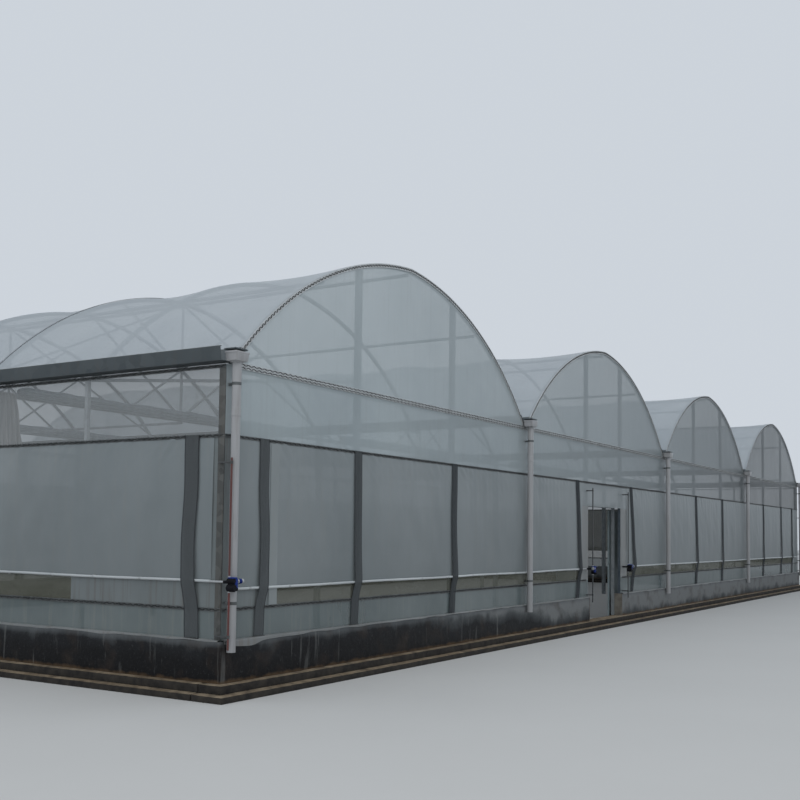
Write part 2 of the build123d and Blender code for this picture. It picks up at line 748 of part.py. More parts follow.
def roll_pipe_along_y(x, y0, y1, z):
    """A level pipe along a side."""
    with BuildSketch(section_at(y1)) as section:
        with Locations((x, z)):
            RegularPolygon(ROLL_PIPE / 2, ROD_SIDES)
    extrude(section.sketch, amount=y1 - y0)


MOTOR_BACK_OUT = 115.0  # where the side pipes meet their gearbox
with BuildPart() as roll_pipes:
    front_y = FRONT - PIPE_AXIS_OUT
    roll_pipe_along_x(FRONT_CURTAINS[0][0], DOOR_POLES[0] - GEARBOX_HALF - FIT, front_y, ROLL_Z_GABLE)
    roll_pipe_along_x(DOOR_POLES[1] + GEARBOX_HALF + FIT, FRONT_CURTAINS[1][1], front_y, ROLL_Z_GABLE)
    roll_pipe_along_x(BACK_CURTAIN[0], BACK_CURTAIN[1], BACK + PIPE_AXIS_OUT, ROLL_Z_GABLE)
    pipe_start = FRONT - MOTOR_BACK_OUT + FIT
    roll_pipe_along_y(LEFT - PIPE_AXIS_OUT, pipe_start, SIDE_CURTAIN[1], ROLL_Z_SIDE)
    roll_pipe_along_y(RIGHT + PIPE_AXIS_OUT, pipe_start, SIDE_CURTAIN[1], ROLL_Z_SIDE)
keep(roll_pipes, "roll_pipes")


# Retaining straps over the curtains, from the middle lock over the pipe to the plinth
def strap_profile(roll_z):
    """The strap's edge: outwards from the frame line, and up."""
    lock = LOCK_OUT + FIT
    over = PIPE_AXIS_OUT + ROLL_PIPE / 2 + FIT
    inner = [
        (lock, MID_LOCK_Z + CHANNEL_WIDE / 2),
        (lock, MID_LOCK_Z - CHANNEL_WIDE / 2),
        (over, roll_z + ROLL_PIPE / 2),
        (over, roll_z - ROLL_PIPE / 2),
        (lock, LOW_LOCK_Z + CHANNEL_WIDE / 2),
        (lock, PLINTH_TOP + FIT),
    ]
    outer = [(n + STRAP_THICK, z) for n, z in inner]
    return inner + outer[::-1]


def strap(wall, along):
    """One strap on a wall, centred along it."""
    if wall in ("front", "back"):
        sign, line = (-1, FRONT) if wall == "front" else (1, BACK)
        with BuildSketch(Plane.YZ.offset(along - STRAP_WIDE / 2)) as edge:
            Polygon(*[(line + sign * n, z) for n, z in strap_profile(ROLL_Z_GABLE)], align=None)
        extrude(edge.sketch, amount=STRAP_WIDE)
    else:
        sign, line = (-1, LEFT) if wall == "left" else (1, RIGHT)
        with BuildSketch(section_at(along + STRAP_WIDE / 2)) as edge:
            Polygon(*[(line + sign * n, z) for n, z in strap_profile(ROLL_Z_SIDE)], align=None)
        extrude(edge.sketch, amount=STRAP_WIDE)


with BuildPart() as straps:
    for spans in STRAPS_FRONT:
        strap("front", LEFT + spans * SPAN)
    for x in gable_post_xs("back"):
        strap("back", x)
    for bays in STRAPS_SIDE:
        strap("left", FRONT + bays * BAY)
        strap("right", FRONT + bays * BAY)
keep(straps, "straps")


# Guide poles of the motors, each on two arms
def upright(x, y, zs, radius, sides):
    """An upright rod or pipe with flats, between two heights."""
    with BuildSketch(Plane.XY.offset(zs[0])) as section:
        with Locations((x, y)):
            RegularPolygon(radius, sides)
    extrude(section.sketch, amount=zs[1] - zs[0])


ARM_DROP = 40.0
POLE_Y = FRONT - POLE_OUT
with BuildPart() as guide_poles:
    for side, x in zip((-1, 1), CORNER_POLES):
        upright(x, POLE_Y, (POLE_FOOT, CORNER_POLE_TOP), POLE_RADIUS, POLE_SIDES)
        wall_face = side * (WIDTH / 2 + SKIN_OUT + FIT)
        for z in (POLE_FOOT + 4 * ARM_DROP, CORNER_POLE_TOP - ARM_DROP):
            slab((x - ARM / 2, x + ARM / 2), (POLE_Y, FRONT), (z - ARM, z))
            slab(sorted((wall_face, x)), (FRONT - ARM, FRONT), (z - ARM, z))
    for x in DOOR_POLES:
        upright(x, POLE_Y, (POLE_FOOT, DOOR_POLE_TOP), POLE_RADIUS, POLE_SIDES)
        for z in (POLE_FOOT + 4 * ARM_DROP, DOOR_POLE_TOP - ARM_DROP):
            slab((x - ARM / 2, x + ARM / 2), (POLE_Y, FRONT - SKIN_OUT - FIT), (z - ARM, z))
keep(guide_poles, "guide_poles")


# Motors: a gearbox that slides on its pole, and the motor on its side
def roll_motor(x, y_back, z, way):
    """A gearbox around the pole at x, from y_back outwards, and a motor that points along way."""
    box_xs = (x - GEARBOX_HALF, x + GEARBOX_HALF)
    slab(box_xs, (FRONT - GEARBOX_OUT, y_back), (z - GEARBOX_TALL / 2, z + GEARBOX_TALL / 2))
    with BuildSketch(Plane.YZ.offset(x + way * GEARBOX_HALF)) as motor_end:
        with Locations((FRONT - GEARBOX_OUT + MOTOR_RADIUS, z + MOTOR_RADIUS)):
            RegularPolygon(MOTOR_RADIUS, ROD_SIDES)
    extrude(motor_end.sketch, amount=way * MOTOR_LONG)
    with BuildSketch(Plane.XY.offset(z - GEARBOX_TALL)) as pole_hole:
        with Locations((x, POLE_Y)):
            RegularPolygon(POLE_RADIUS + FIT, POLE_SIDES)
    extrude(pole_hole.sketch, amount=2 * GEARBOX_TALL, mode=Mode.SUBTRACT)


with BuildPart() as roll_motors:
    roll_motor(CORNER_POLES[0], FRONT - MOTOR_BACK_OUT, ROLL_Z_SIDE, 1)
    roll_motor(CORNER_POLES[1], FRONT - MOTOR_BACK_OUT, ROLL_Z_SIDE, -1)
    roll_motor(DOOR_POLES[0], FRONT - LOCK_OUT, ROLL_Z_GABLE, -1)
    roll_motor(DOOR_POLES[1], FRONT - LOCK_OUT, ROLL_Z_GABLE, 1)
keep(roll_motors, "roll_motors")

# Hopper heads at both ends of each gutter, open boxes that taper to the pipe
HOPPER_FOOT = 2 * (PIPE_RADIUS + HOPPER_WALL)
HOPPER_MIDDLE = GUTTER_PAST + FIT + HOPPER_DEEP / 2


def taper(wide, foot, low_z, wall):
    """A hopper's side view about its middle: wide at the top, as wide as the pipe's seat at the foot."""
    return [
        (wall - wide / 2, HOPPER_TOP),
        (wall - foot / 2, low_z),
        (foot / 2 - wall, low_z),
        (wide / 2 - wall, HOPPER_TOP),
    ]


def tapered_boxes(low_z, wall):
    """All the heads as solid blocks, a wall's thickness inside their outer faces."""
    with BuildSketch(section_at(BACK + BAY)) as across:
        for x in VALLEY_XS:
            Polygon(*[(x + px, pz) for px, pz in taper(HOPPER_WIDE, HOPPER_FOOT, low_z, wall)], align=None)
    extrude(across.sketch, amount=DEPTH + 2 * BAY)
    with BuildSketch(Plane.YZ.offset(LEFT - BAY)) as along:
        for y in (FRONT - HOPPER_MIDDLE, BACK + HOPPER_MIDDLE):
            Polygon(*[(y + py, pz) for py, pz in taper(HOPPER_DEEP, HOPPER_FOOT, low_z, wall)], align=None)
    extrude(along.sketch, amount=WIDTH + 2 * BAY, mode=Mode.INTERSECT)


with BuildPart() as hopper_hollows:
    tapered_boxes(HOPPER_BOTTOM + HOPPER_WALL, HOPPER_WALL)

with BuildPart() as hopper_heads:
    tapered_boxes(HOPPER_BOTTOM, 0)
    add(hopper_hollows.part, mode=Mode.SUBTRACT)
keep(hopper_heads, "hopper_heads")

# Downpipes with their clips
CLIP_ZS = [3550.0, 1060.0]
CLIP_TALL = 40.0
with BuildPart() as downpipes:
    for x in VALLEY_XS:
        for sign, line in ((-1, FRONT), (1, BACK)):
            y = line + sign * PIPE_OUT
            upright(x, y, (PIPE_FOOT, HOPPER_BOTTOM - FIT), PIPE_RADIUS, PIPE_SIDES)
            for z in CLIP_ZS:
                lug = sorted((line + sign * (SKIN_OUT + FIT), y))
                slab((x - CLIP_TALL / 2, x + CLIP_TALL / 2), lug, (z, z + CLIP_TALL))
keep(downpipes, "downpipes")

# Door frame inside the doorway, on the footing
JAMB_IN = -PLINTH_IN
HINGE_Y = FRONT + HINGE_IN
HINGE_XS = DOOR_EDGES


def hinge_lug(x, z):
    """A lug on the jamb's back with an upright pin."""
    slab((x - LUG_HALF, x + LUG_HALF), (FRONT + JAMB_IN, HINGE_Y + LUG_HALF), (z - LUG_THICK, z))
    with Locations((x, HINGE_Y, z + EYE_TALL / 2)):
        Cylinder(PIN_RADIUS, EYE_TALL)


with BuildPart() as door_jambs:
    for x, way in zip(DOOR_EDGES, (1, -1)):
        jamb_xs = sorted((x, x + way * JAMB))
        slab(jamb_xs, (FRONT + JAMB_IN - JAMB, FRONT + JAMB_IN), (FOOTING_TOP, DOOR_TOP))
        for z in HINGE_ZS:
            hinge_lug(x, z)
keep(door_jambs, "door_jambs")

with BuildPart() as door_header:
    header_ys = (FRONT + JAMB_IN - JAMB, FRONT + JAMB_IN)
    slab(DOOR_EDGES, header_ys, (DOOR_TOP + FIT, DOOR_TOP + JAMB))
    for x in DOOR_EDGES:
        slab((x - POST_WIDE, x + POST_WIDE), header_ys, (DOOR_TOP + JAMB, DOOR_TOP + 2 * JAMB))
keep(door_header, "door_header")


# Door leaves, standing open against the inside of the wall
def leaf(x, way):
    """A framed leaf beside its hinge axis, with an eye over each pin."""
    near = x + way * HINGE_GAP
    far = near + way * LEAF_WIDE
    xs = sorted((near, far))
    ys = (HINGE_Y + HINGE_SET, HINGE_Y + HINGE_SET + LEAF_THICK)
    slab(xs, ys, (LEAF_BOTTOM, LEAF_TOP))
    middle_z = (LEAF_BOTTOM + LEAF_TOP) / 2
    inner_xs = (xs[0] + LEAF_STILE, xs[1] - LEAF_STILE)
    recess = (LEAF_THICK - LEAF_PANEL) / 2
    panels = [
        (LEAF_BOTTOM + LEAF_STILE, middle_z - LEAF_STILE / 2),
        (middle_z + LEAF_STILE / 2, LEAF_TOP - LEAF_STILE),
    ]
    for low, high in panels:
        for y0 in (ys[0], ys[1] - recess):
            with Locations((sum(inner_xs) / 2, y0 + recess / 2, (low + high) / 2)):
                Box(inner_xs[1] - inner_xs[0], recess, high - low, mode=Mode.SUBTRACT)
    for z in HINGE_ZS:
        upright(x, HINGE_Y, (z + FIT, z + EYE_TALL), EYE_RADIUS, ROD_SIDES)
        slab(sorted((x, near + way * HINGE_GAP)), (HINGE_Y, ys[0] + HINGE_SET), (z + FIT, z + EYE_TALL))
        with Locations((x, HINGE_Y, z + EYE_TALL / 2)):
            Cylinder(PIN_RADIUS + PIN_PLAY, 2 * EYE_TALL, mode=Mode.SUBTRACT)


with BuildPart() as door_leaf_left:
    leaf(HINGE_XS[0], -1)
keep(door_leaf_left, "door_leaf_left")

with BuildPart() as door_leaf_right:
    leaf(HINGE_XS[1], 1)
keep(door_leaf_right, "door_leaf_right")

# Gathered shade screens along the ties, and the bunch of cloth that hangs at the first main frame
SCREEN_SIDE = TIE / 2 + FIT + SCREEN_RADIUS  # from the frame's middle to the roll's
with BuildPart() as shade_screens:
    for x in SPAN_XS:
        for y in MAIN_YS:
            with BuildSketch(Plane.YZ.offset(x + SCREEN_SET)) as bundle:
                with Locations((y - SCREEN_SIDE, COLUMN_TOP + SCREEN_ABOVE)):
                    RegularPolygon(SCREEN_RADIUS, 8, major_radius=False, rotation=22.5)
            extrude(bundle.sketch, amount=SPAN - 2 * SCREEN_SET)
keep(shade_screens, "shade_screens")

with BuildPart() as hanging_screen:
    with BuildSketch(section_at(MAIN_YS[0] - TIE / 2 - FIT)):
        Polygon(
            (LEFT + HANGING_TOP[0], COLUMN_TOP),
            (LEFT + HANGING_TOP[1], COLUMN_TOP),
            (LEFT + HANGING_FOOT[1], COLUMN_TOP - HANGING_TALL),
            (LEFT + HANGING_FOOT[0], COLUMN_TOP - HANGING_TALL),
            align=None,
        )
    extrude(amount=HANGING_DEEP)
keep(hanging_screen, "hanging_screen")
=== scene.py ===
"""Looks of a gutter-connected film greenhouse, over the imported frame.

Metres, row frame: X along the front gable, Y from the front (-6.75) to the back (+6.75), Z up from the ground.
Wall distances called "out" are measured outwards from the frame line of a wall.
"""
import math

import bpy
import numpy as np
from mathutils import Matrix, Vector


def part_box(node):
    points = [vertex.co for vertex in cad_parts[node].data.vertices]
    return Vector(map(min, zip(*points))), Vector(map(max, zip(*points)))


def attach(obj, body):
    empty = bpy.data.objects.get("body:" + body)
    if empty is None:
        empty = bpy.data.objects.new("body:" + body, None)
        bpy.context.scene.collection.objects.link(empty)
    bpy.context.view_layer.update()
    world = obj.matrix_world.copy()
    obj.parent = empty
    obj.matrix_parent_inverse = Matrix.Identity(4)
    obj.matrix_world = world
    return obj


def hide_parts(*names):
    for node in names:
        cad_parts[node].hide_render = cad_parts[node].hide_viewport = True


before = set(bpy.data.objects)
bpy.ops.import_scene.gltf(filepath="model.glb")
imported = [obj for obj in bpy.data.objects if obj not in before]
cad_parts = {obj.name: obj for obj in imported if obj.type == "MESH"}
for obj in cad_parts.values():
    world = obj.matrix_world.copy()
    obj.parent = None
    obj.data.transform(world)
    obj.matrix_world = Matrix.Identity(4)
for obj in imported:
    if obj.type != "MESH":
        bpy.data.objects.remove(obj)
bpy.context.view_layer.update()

# ---- sizes, as in the part's source
SPAN = 8.0
BAY, BAYS = 2.25, 6
VALLEYS = [-16.0, -8.0, 0.0, 8.0, 16.0]
SPANS = VALLEYS[:-1]
FRONT, BACK, LEFT, RIGHT = -6.75, 6.75, -16.0, 16.0
SPRING = 3.8
RADIUS, CENTRE_X = 5.6, 4.3  # of a half arch, and its centre's distance from the valley
CENTRE_Z = SPRING - math.sqrt(RADIUS**2 - CENTRE_X**2)
ARC_FOOT, ARC_RIDGE = math.acos(CENTRE_X / RADIUS), math.acos((CENTRE_X - SPAN / 2) / RADIUS)
ARCH_YS = [FRONT - 0.02] + [FRONT + BAY * i for i in range(1, BAYS)] + [BACK + 0.02]
MAIN_YS = [FRONT + 2 * BAY, FRONT + 4 * BAY]
GUTTER_TOP, GUTTER_GAP = 4.03, 0.0008
LIP_X, LIP_Z = 16.1795, 3.9905

MEMBER = 0.05  # distances out: the frame's face, films and nets, a lock's floor and lips, and its wire
SKIN = 0.0533
LOCK_IN, LOCK_OUT = 0.0566, 0.0666
WIRE_OUT = LOCK_IN + 0.0082
CURTAIN_OUT = 0.0599
PIPE_AXIS = 0.0719  # axes of the roll pipes, the downpipes and the guide poles
DRAIN_AXIS = 0.165
POLE_AXIS = 0.195

LOW_LOCK, MID_LOCK = 1.0, 2.98
BAND_LOW, BAND_TOP = 2.97, 3.81
SKIRT_FOOT = 0.652
STRAP_TOP, STRAP_FOOT = 3.0, 0.655
DOOR = -4.0  # the doorway's middle, its half width, and that of the fixed film around it
DOOR_HALF, FIXED_HALF = 0.95, 1.35
ROLL_END = 15.9
WIRE_PITCH, WIRE_STEP = 0.1, 0.025

WALLS = ("front", "back", "left", "right")
GABLES = WALLS[:2]
GABLE_LINES = ((-1, FRONT), (1, BACK))
OUTWARDS = {"front": (0, -1, 0), "back": (0, 1, 0), "left": (-1, 0, 0), "right": (1, 0, 0)}
REACH = {"front": 16.05, "back": 16.05, "left": BACK + MEMBER, "right": BACK + MEMBER}
ROLL_Z = {"front": 1.23, "back": 1.23, "left": 1.32, "right": 1.32}
SIDE_STRAPS = [FRONT + s * BAY for s in (0.19, 2.81, 5.81)]
STRAPS = {
    "front": [LEFT + s * SPAN for s in (0.081, 0.331, 0.671, 1.306, 1.7, 2.341, 2.673, 3.313, 3.65, 3.875)],
    "back": [v + third * SPAN / 3 for v in SPANS for third in (1, 2)],
    "left": SIDE_STRAPS, "right": SIDE_STRAPS,
}
LOOK = {}  # materials by name
EVEN = (1, 1, 1)  # a pattern that is not stretched along any axis


# ---- mesh helpers
def sheet_faces(nu, nv, wrap=False):
    """Quads of a grid of nu by nv points; wrap joins the last column to the first."""
    i = np.arange(nu - 1)[:, None]
    j = np.arange(nv if wrap else nv - 1)[None, :]
    k = (j + 1) % nv
    return np.stack([i * nv + j, (i + 1) * nv + j, (i + 1) * nv + k, i * nv + k], -1).reshape(-1, 4)


class Bag:
    """Gathers point and face arrays, and turns them into one object."""

    def __init__(self):
        self.points, self.faces, self.count = [], [], 0

    def add(self, points, faces):
        points = np.asarray(points, float).reshape(-1, 3)
        self.points.append(points)
        for f in faces if isinstance(faces, list) else [faces]:
            self.faces += (np.asarray(f) + self.count).tolist()
        self.count += len(points)

    def piece(self, name, look, slot=None, *nodes, sharp=40, uv=None):
        """One smooth object, creased above `sharp` degrees. With a slot it rides on the house; it stands for the CAD
        nodes that are named."""
        mesh = bpy.data.meshes.new(name)
        mesh.from_pydata(np.concatenate(self.points).tolist(), [], self.faces)
        mesh.materials.append(LOOK[look])
        mesh.polygons.foreach_set("use_smooth", np.full(len(mesh.polygons), True))
        if uv is not None:
            layer = mesh.uv_layers.new(name="cut")
            index = np.zeros(len(mesh.loops), np.int32)
            mesh.loops.foreach_get("vertex_index", index)
            layer.data.foreach_set("uv", np.asarray(uv, np.float32).reshape(-1, 2)[index].ravel())
        mesh.update()
        obj = bpy.data.objects.new(name, mesh)
        bpy.context.scene.collection.objects.link(obj)
        mesh.set_sharp_from_angle(angle=math.radians(sharp))
        if slot:
            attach(obj, "house")
        if nodes:
            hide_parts(*nodes)
        return obj


def hang(name, points, look, slot, *nodes, rests_on=("lock_frames",), held="stretched"):
    """One open sheet from a grid of points. What it rests on is not used."""
    bag = Bag()
    bag.add(points, sheet_faces(*points.shape[:2]))
    obj = bag.piece(name, look, slot, *nodes, sharp=180)


def ripples(u, v, seed, count, shortest, longest, lean=None):
    """A smooth random height field: a sum of plane waves with random directions, lengths and phases."""
    rng = np.random.default_rng(seed)
    out = np.zeros(np.broadcast(u, v).shape)
    for _ in range(count):
        length = math.exp(rng.uniform(math.log(shortest), math.log(longest)))
        a = rng.uniform(0, math.tau) if lean is None else rng.normal(lean, 0.25)
        k = math.tau / length
        out += np.sin(k * (u * math.cos(a) + v * math.sin(a)) + rng.uniform(0, math.tau))
    return out / math.sqrt(count)


def rounded(wide, tall, radius, steps=3):
    """A rectangle with rounded corners, centred, as a closed list of points."""
    pts = []
    for cx, cy, a0 in ((1, 1, 0), (-1, 1, 90), (-1, -1, 180), (1, -1, 270)):
        for i in range(steps + 1):
            a = math.radians(a0 + 90 * i / steps)
            pts.append((cx * (wide / 2 - radius) + radius * math.cos(a),
                        cy * (tall / 2 - radius) + radius * math.sin(a)))
    return np.array(pts)


def ring(radius, sides):
    """A round section, as a closed list of points."""
    a = np.arange(sides) * math.tau / sides
    return np.stack([radius * np.cos(a), radius * np.sin(a)], -1)


def sweep(bag, path, section, side, caps=True, scale=None):
    """A section carried along a path; side is the direction of the section's first axis, kept square to it."""
    path = np.asarray(path, float)
    t = np.gradient(path, axis=0)
    t /= np.linalg.norm(t, axis=1)[:, None]
    s = np.broadcast_to(np.asarray(side, float), path.shape).copy()
    s -= (s * t).sum(1)[:, None] * t
    s /= np.linalg.norm(s, axis=1)[:, None]
    w = np.cross(t, s)
    section = np.asarray(section, float)
    m = len(section)
    k = np.ones(len(path)) if scale is None else np.asarray(scale, float)
    pts = (path[:, None] + k[:, None, None] * (section[None, :, 0, None] * s[:, None]
                                               + section[None, :, 1, None] * w[:, None]))
    faces = [sheet_faces(len(path), m, wrap=True)[:, ::-1]]
    if caps:
        faces += [np.arange(m)[None, :], ((len(path) - 1) * m + np.arange(m))[None, ::-1]]
    bag.add(pts, faces)


def straight(bag, a, b, section, side, ease, thick):
    """A straight run with eased ends: each shrinks by twice the ease over a length of one ease."""
    a, b = np.asarray(a, float), np.asarray(b, float)
    d = (b - a) / np.linalg.norm(b - a)
    shrink = 1 - 2 * ease / thick
    sweep(bag, [a, a + d * ease, b - d * ease, b], section, side, scale=[shrink, 1, 1, shrink])


def bar(bag, a, b, wide, tall, side, radius=0.004):
    """A straight tube with rounded edges."""
    straight(bag, a, b, rounded(wide, tall, radius), side, min(0.003, math.dist(a, b) / 4), max(wide, tall))


def rod(bag, a, b, radius, sides=16, ease=0.002):
    """A straight round bar."""
    side = (0, 0, 1) if abs(b[2] - a[2]) < 0.9 * math.dist(a, b) else (1, 0, 0)
    straight(bag, a, b, ring(radius, sides), side, ease, 2 * radius)


def grid(x, y, z):
    """Points from coordinates that are broadcast together."""
    return np.stack(np.broadcast_arrays(x, y, z), -1)


def on_wall(wall, along, out, z):
    """Row-frame points of a wall: distance along it, outwards from its frame line, and height."""
    out = np.asarray(out, float)
    across = {"front": FRONT - out, "back": BACK + out, "left": LEFT - out, "right": RIGHT + out}[wall]
    return grid(along, across, z) if wall in GABLES else grid(across, along, z)


def arch_xz(t, inward, half):
    """Points of a smooth half arch; t runs from 0 at its foot on the spring line to 1 at the ridge."""
    a = ARC_FOOT + (ARC_RIDGE - ARC_FOOT) * np.asarray(t, float)
    r = RADIUS - inward
    x = CENTRE_X - r * np.cos(a)
    return (x if half == 0 else SPAN - x), CENTRE_Z + r * np.sin(a)


def arch_top(x, inward=0.0):
    """Height of the arch's outer line at a distance from the valley, minus a depth inside it."""
    x = np.minimum(x, SPAN - x)
    return CENTRE_Z + np.sqrt((RADIUS - inward) ** 2 - (CENTRE_X - x) ** 2)


def around_door(a0, a1, half):
    """A run along the front, cut by half a width on each side of the doorway's middle."""
    return [(a0, DOOR - half), (DOOR + half, a1)]


# ---- materials
class Nodes:
    """A small builder for node materials in Object coordinates."""

    def __init__(self, name):
        self.name = name
        self.mat = bpy.data.materials.new(name)
        self.mat.use_nodes = True
        self.tree = self.mat.node_tree
        self.bsdf = self.tree.nodes["Principled BSDF"]
        self.coords = self.tree.nodes.new("ShaderNodeTexCoord")

    def feed(self, socket, value):
        """Links an output to a socket, or sets the socket's own value."""
        if isinstance(value, bpy.types.NodeSocket):
            self.tree.links.new(value, socket)
        else:
            socket.default_value = (*value, 1) if socket.type == "RGBA" else value

    def node(self, kind, **values):
        n = self.tree.nodes.new("ShaderNode" + kind)
        for key, value in values.items():
            if hasattr(n, key):
                setattr(n, key, value)
            else:
                self.feed(n.inputs[key.replace("_", " ")], value)
        return n

    def mapped(self, scale=(1, 1, 1), source="Object", turn=(0, 0, 0)):
        return self.node("Mapping", Scale=scale, Rotation=turn, Vector=self.coords.outputs[source]).outputs["Vector"]

    def noise(self, scale=(1, 1, 1), size=1.0, detail=4.0, rough=0.55, distortion=0.0):
        return self.node("TexNoise", Scale=size, Detail=detail, Roughness=rough, Distortion=distortion,
                         Vector=self.mapped(scale)).outputs["Fac"]

    def ramp(self, fac, stops):
        r = self.node("ValToRGB", Fac=fac)
        r.color_ramp.elements[0].position = stops[0][0]
        r.color_ramp.elements[-1].position = stops[-1][0]
        for pos, _ in stops[1:-1]:
            r.color_ramp.elements.new(pos)
        for element, (_, colour) in zip(r.color_ramp.elements, stops):
            element.color = (*colour, 1)
        return r.outputs["Color"]

    def mix(self, fac, a, b):
        m = self.node("Mix", data_type="RGBA", Factor=fac)
        self.feed(m.inputs[6], a)
        self.feed(m.inputs[7], b)
        return m.outputs[2]

    def math(self, kind, a, b=0.0):
        m = self.node("Math", operation=kind)
        self.feed(m.inputs[0], a)
        self.feed(m.inputs[1], b)
        return m.outputs[0]

    def axis(self, which, vector=None):
        if vector is None:
            vector = self.coords.outputs["Object"]
        return self.node("SeparateXYZ", Vector=vector).outputs[which]

    def between(self, value, low, high, to_low=0.0, to_high=1.0):
        return self.node("MapRange", Value=value, From_Min=low, From_Max=high,
                         To_Min=to_low, To_Max=to_high).outputs["Result"]

    def share(self, value, low, high, amount):
        """From nothing at the low value to the whole amount at the high one."""
        return self.math("MULTIPLY", self.between(value, low, high), amount)

    def bump(self, height, strength, distance=0.01):
        self.feed(self.bsdf.inputs["Normal"],
                  self.node("Bump", Strength=strength, Distance=distance, Height=height).outputs["Normal"])

    def done(self, colour, rough, **more):
        """Feeds the shader and files the material under its name."""
        for key, value in {"Base Color": colour, "Roughness": rough, **more}.items():
            self.feed(self.bsdf.inputs[key.replace("_", " ")], value)
        LOOK[self.name] = self.mat


def film(name, clear, milky, alpha, rough, streaks, dust_amount, dust=(0.30, 0.29, 0.25), painted_shade_right=0.0, painted_shade_foot=0.0):
    """Polyethylene film: milky tone with cloudy dust, vertical runs, and fine stretch wrinkles in its gloss.
    Painted shade darkens it towards the right end of the row and towards its foot."""
    n = Nodes(name)
    cloud = n.noise((0.6, 0.6, 0.35), 1.4, 5)
    tone = n.ramp(cloud, [(0.3, clear), (0.7, milky)])
    tone = n.mix(n.share(n.noise((9, 9, 0.5), 1.6, 6, 0.6), 0.52, 0.8, dust_amount), tone, dust)
    # painted shade: a dark tone mixed in towards the right end of the row (x) and towards the foot (z)
    for which, low, high, amount in ((0, -13.0, 9.0, painted_shade_right), (2, 2.9, 1.3, painted_shade_foot)):
        if amount:
            tone = n.mix(n.share(n.axis(which), low, high, amount), tone, (0.05, 0.06, 0.062))
    n.bump(n.noise(streaks, 2.2, 5, 0.6, distortion=0.7), 0.25)
    n.done(tone, n.between(cloud, 0, 1, rough - 0.07, rough + 0.16), Alpha=alpha)


def metal(name, dark, light, rough=0.42, metallic=0.75, spangle=14.0, stain=(0.10, 0.085, 0.07), stain_amount=0.35):
    """Galvanised steel: spangled zinc tones, pale bloom, and grey-brown runs."""
    n = Nodes(name)
    cells = n.node("TexVoronoi", Scale=spangle, Vector=n.mapped())
    zinc = n.ramp(cells.outputs["Color"], [(0.15, dark), (0.9, light)])
    bloom = n.noise(EVEN, 3.0, 6, 0.65)
    runs = n.share(n.noise((7, 7, 0.7), 2.0, 6, 0.6), 0.5, 0.82, stain_amount)
    tone = n.mix(runs, n.mix(n.between(bloom, 0.35, 0.95), zinc, light), stain)
    n.bump(n.noise(EVEN, 90, 3), 0.06, 0.002)
    n.done(tone, n.between(bloom, 0, 1, rough - 0.1, rough + 0.2), Metallic=metallic)


def plastic(name, tone, worn, rough=0.4, scale=3.0, grime=(0.13, 0.11, 0.09), grime_amount=0.4, specular=0.5):
    """Painted or moulded plastic: faded patches, and dirt that runs down."""
    n = Nodes(name)
    faded = n.ramp(n.noise((1, 1, 0.4), scale, 5), [(0.3, tone), (0.75, worn)])
    runs = n.share(n.noise((14, 14, 0.8), 2.2, 6, 0.62), 0.5, 0.8, grime_amount)
    n.bump(n.noise(EVEN, 160, 2), 0.05, 0.001)
    n.done(n.mix(runs, faded, grime), rough, Specular_IOR_Level=specular)


def plinth(name):
    """Cement render on a knee wall: nearly black with damp at its foot, blue-grey haze in cloudy patches that
    gathers at the top, painted light that makes it lighter towards the right end of the row, pale lime runs,
    brown splashes low down, and pits."""
    n = Nodes(name)
    z = n.axis(2)
    cloud = n.noise((1.0, 1.0, 0.8), 1.5, 7, 0.62, 0.4)
    damp_edge = n.math("ADD", z, n.math("MULTIPLY", cloud, 0.62))
    # painted light: the x term makes the wall lighter towards the right end of the row
    height = n.between(n.math("ADD", damp_edge, n.share(n.axis(0), -13.0, -4.0, 0.46)), 0.72, 1.12)
    base = n.ramp(height, [(0.0, (0.009, 0.009, 0.010)), (0.35, (0.018, 0.019, 0.021)),
                           (0.7, (0.075, 0.081, 0.084)), (1.0, (0.18, 0.188, 0.19))])
    rim = n.math("ADD", z, n.math("MULTIPLY", cloud, 0.10))
    base = n.mix(n.share(rim, 0.615, 0.70, 0.8), base, (0.125, 0.135, 0.142))
    speck = n.noise(EVEN, 30, 7, 0.75)
    base = n.mix(n.share(speck, 0.56, 0.8, 0.7), base, (0.085, 0.088, 0.09))
    lime = n.noise((6, 6, 0.5), 1.5, 7, 0.62, 0.3)
    base = n.mix(n.share(lime, 0.6, 0.82, 0.9), base, (0.19, 0.195, 0.19))
    base = n.mix(n.share(n.noise((1.3, 1.3, 1.3), 2.2, 5), 0.52, 0.72, 0.45), base, (0.05, 0.036, 0.028))
    splash = n.math("ADD", z, n.math("MULTIPLY", n.noise((2.2, 2.2, 1), 3, 5), -0.11))
    base = n.mix(n.share(splash, 0.165, 0.125, 0.75), base, (0.12, 0.078, 0.045))
    coarse = n.noise(EVEN, 7, 8, 0.6)
    n.bump(n.math("ADD", coarse, n.math("MULTIPLY", speck, 0.5)), 0.6, 0.012)
    n.done(base, n.between(height, 0, 1, 0.42, 0.95), Specular_IOR_Level=0.12)


def footing(name):
    """Cast kerb steps: dark risers, treads dusted tan with splashed earth."""
    n = Nodes(name)
    grit = n.noise(EVEN, 9, 7, 0.62)
    faces_up = n.axis(2, n.node("NewGeometry").outputs["Normal"])
    up = n.math("MULTIPLY", n.between(faces_up, 0.3, 0.9), n.between(grit, 0.15, 0.6))
    dark = n.ramp(grit, [(0.3, (0.018, 0.017, 0.017)), (0.75, (0.055, 0.048, 0.040))])
    tan = n.ramp(n.noise(EVEN, 3, 6), [(0.3, (0.17, 0.125, 0.08)), (0.8, (0.34, 0.28, 0.20))])
    n.bump(grit, 0.7, 0.012)
    n.done(n.mix(up, dark, tan), 0.85, Specular_IOR_Level=0.2)


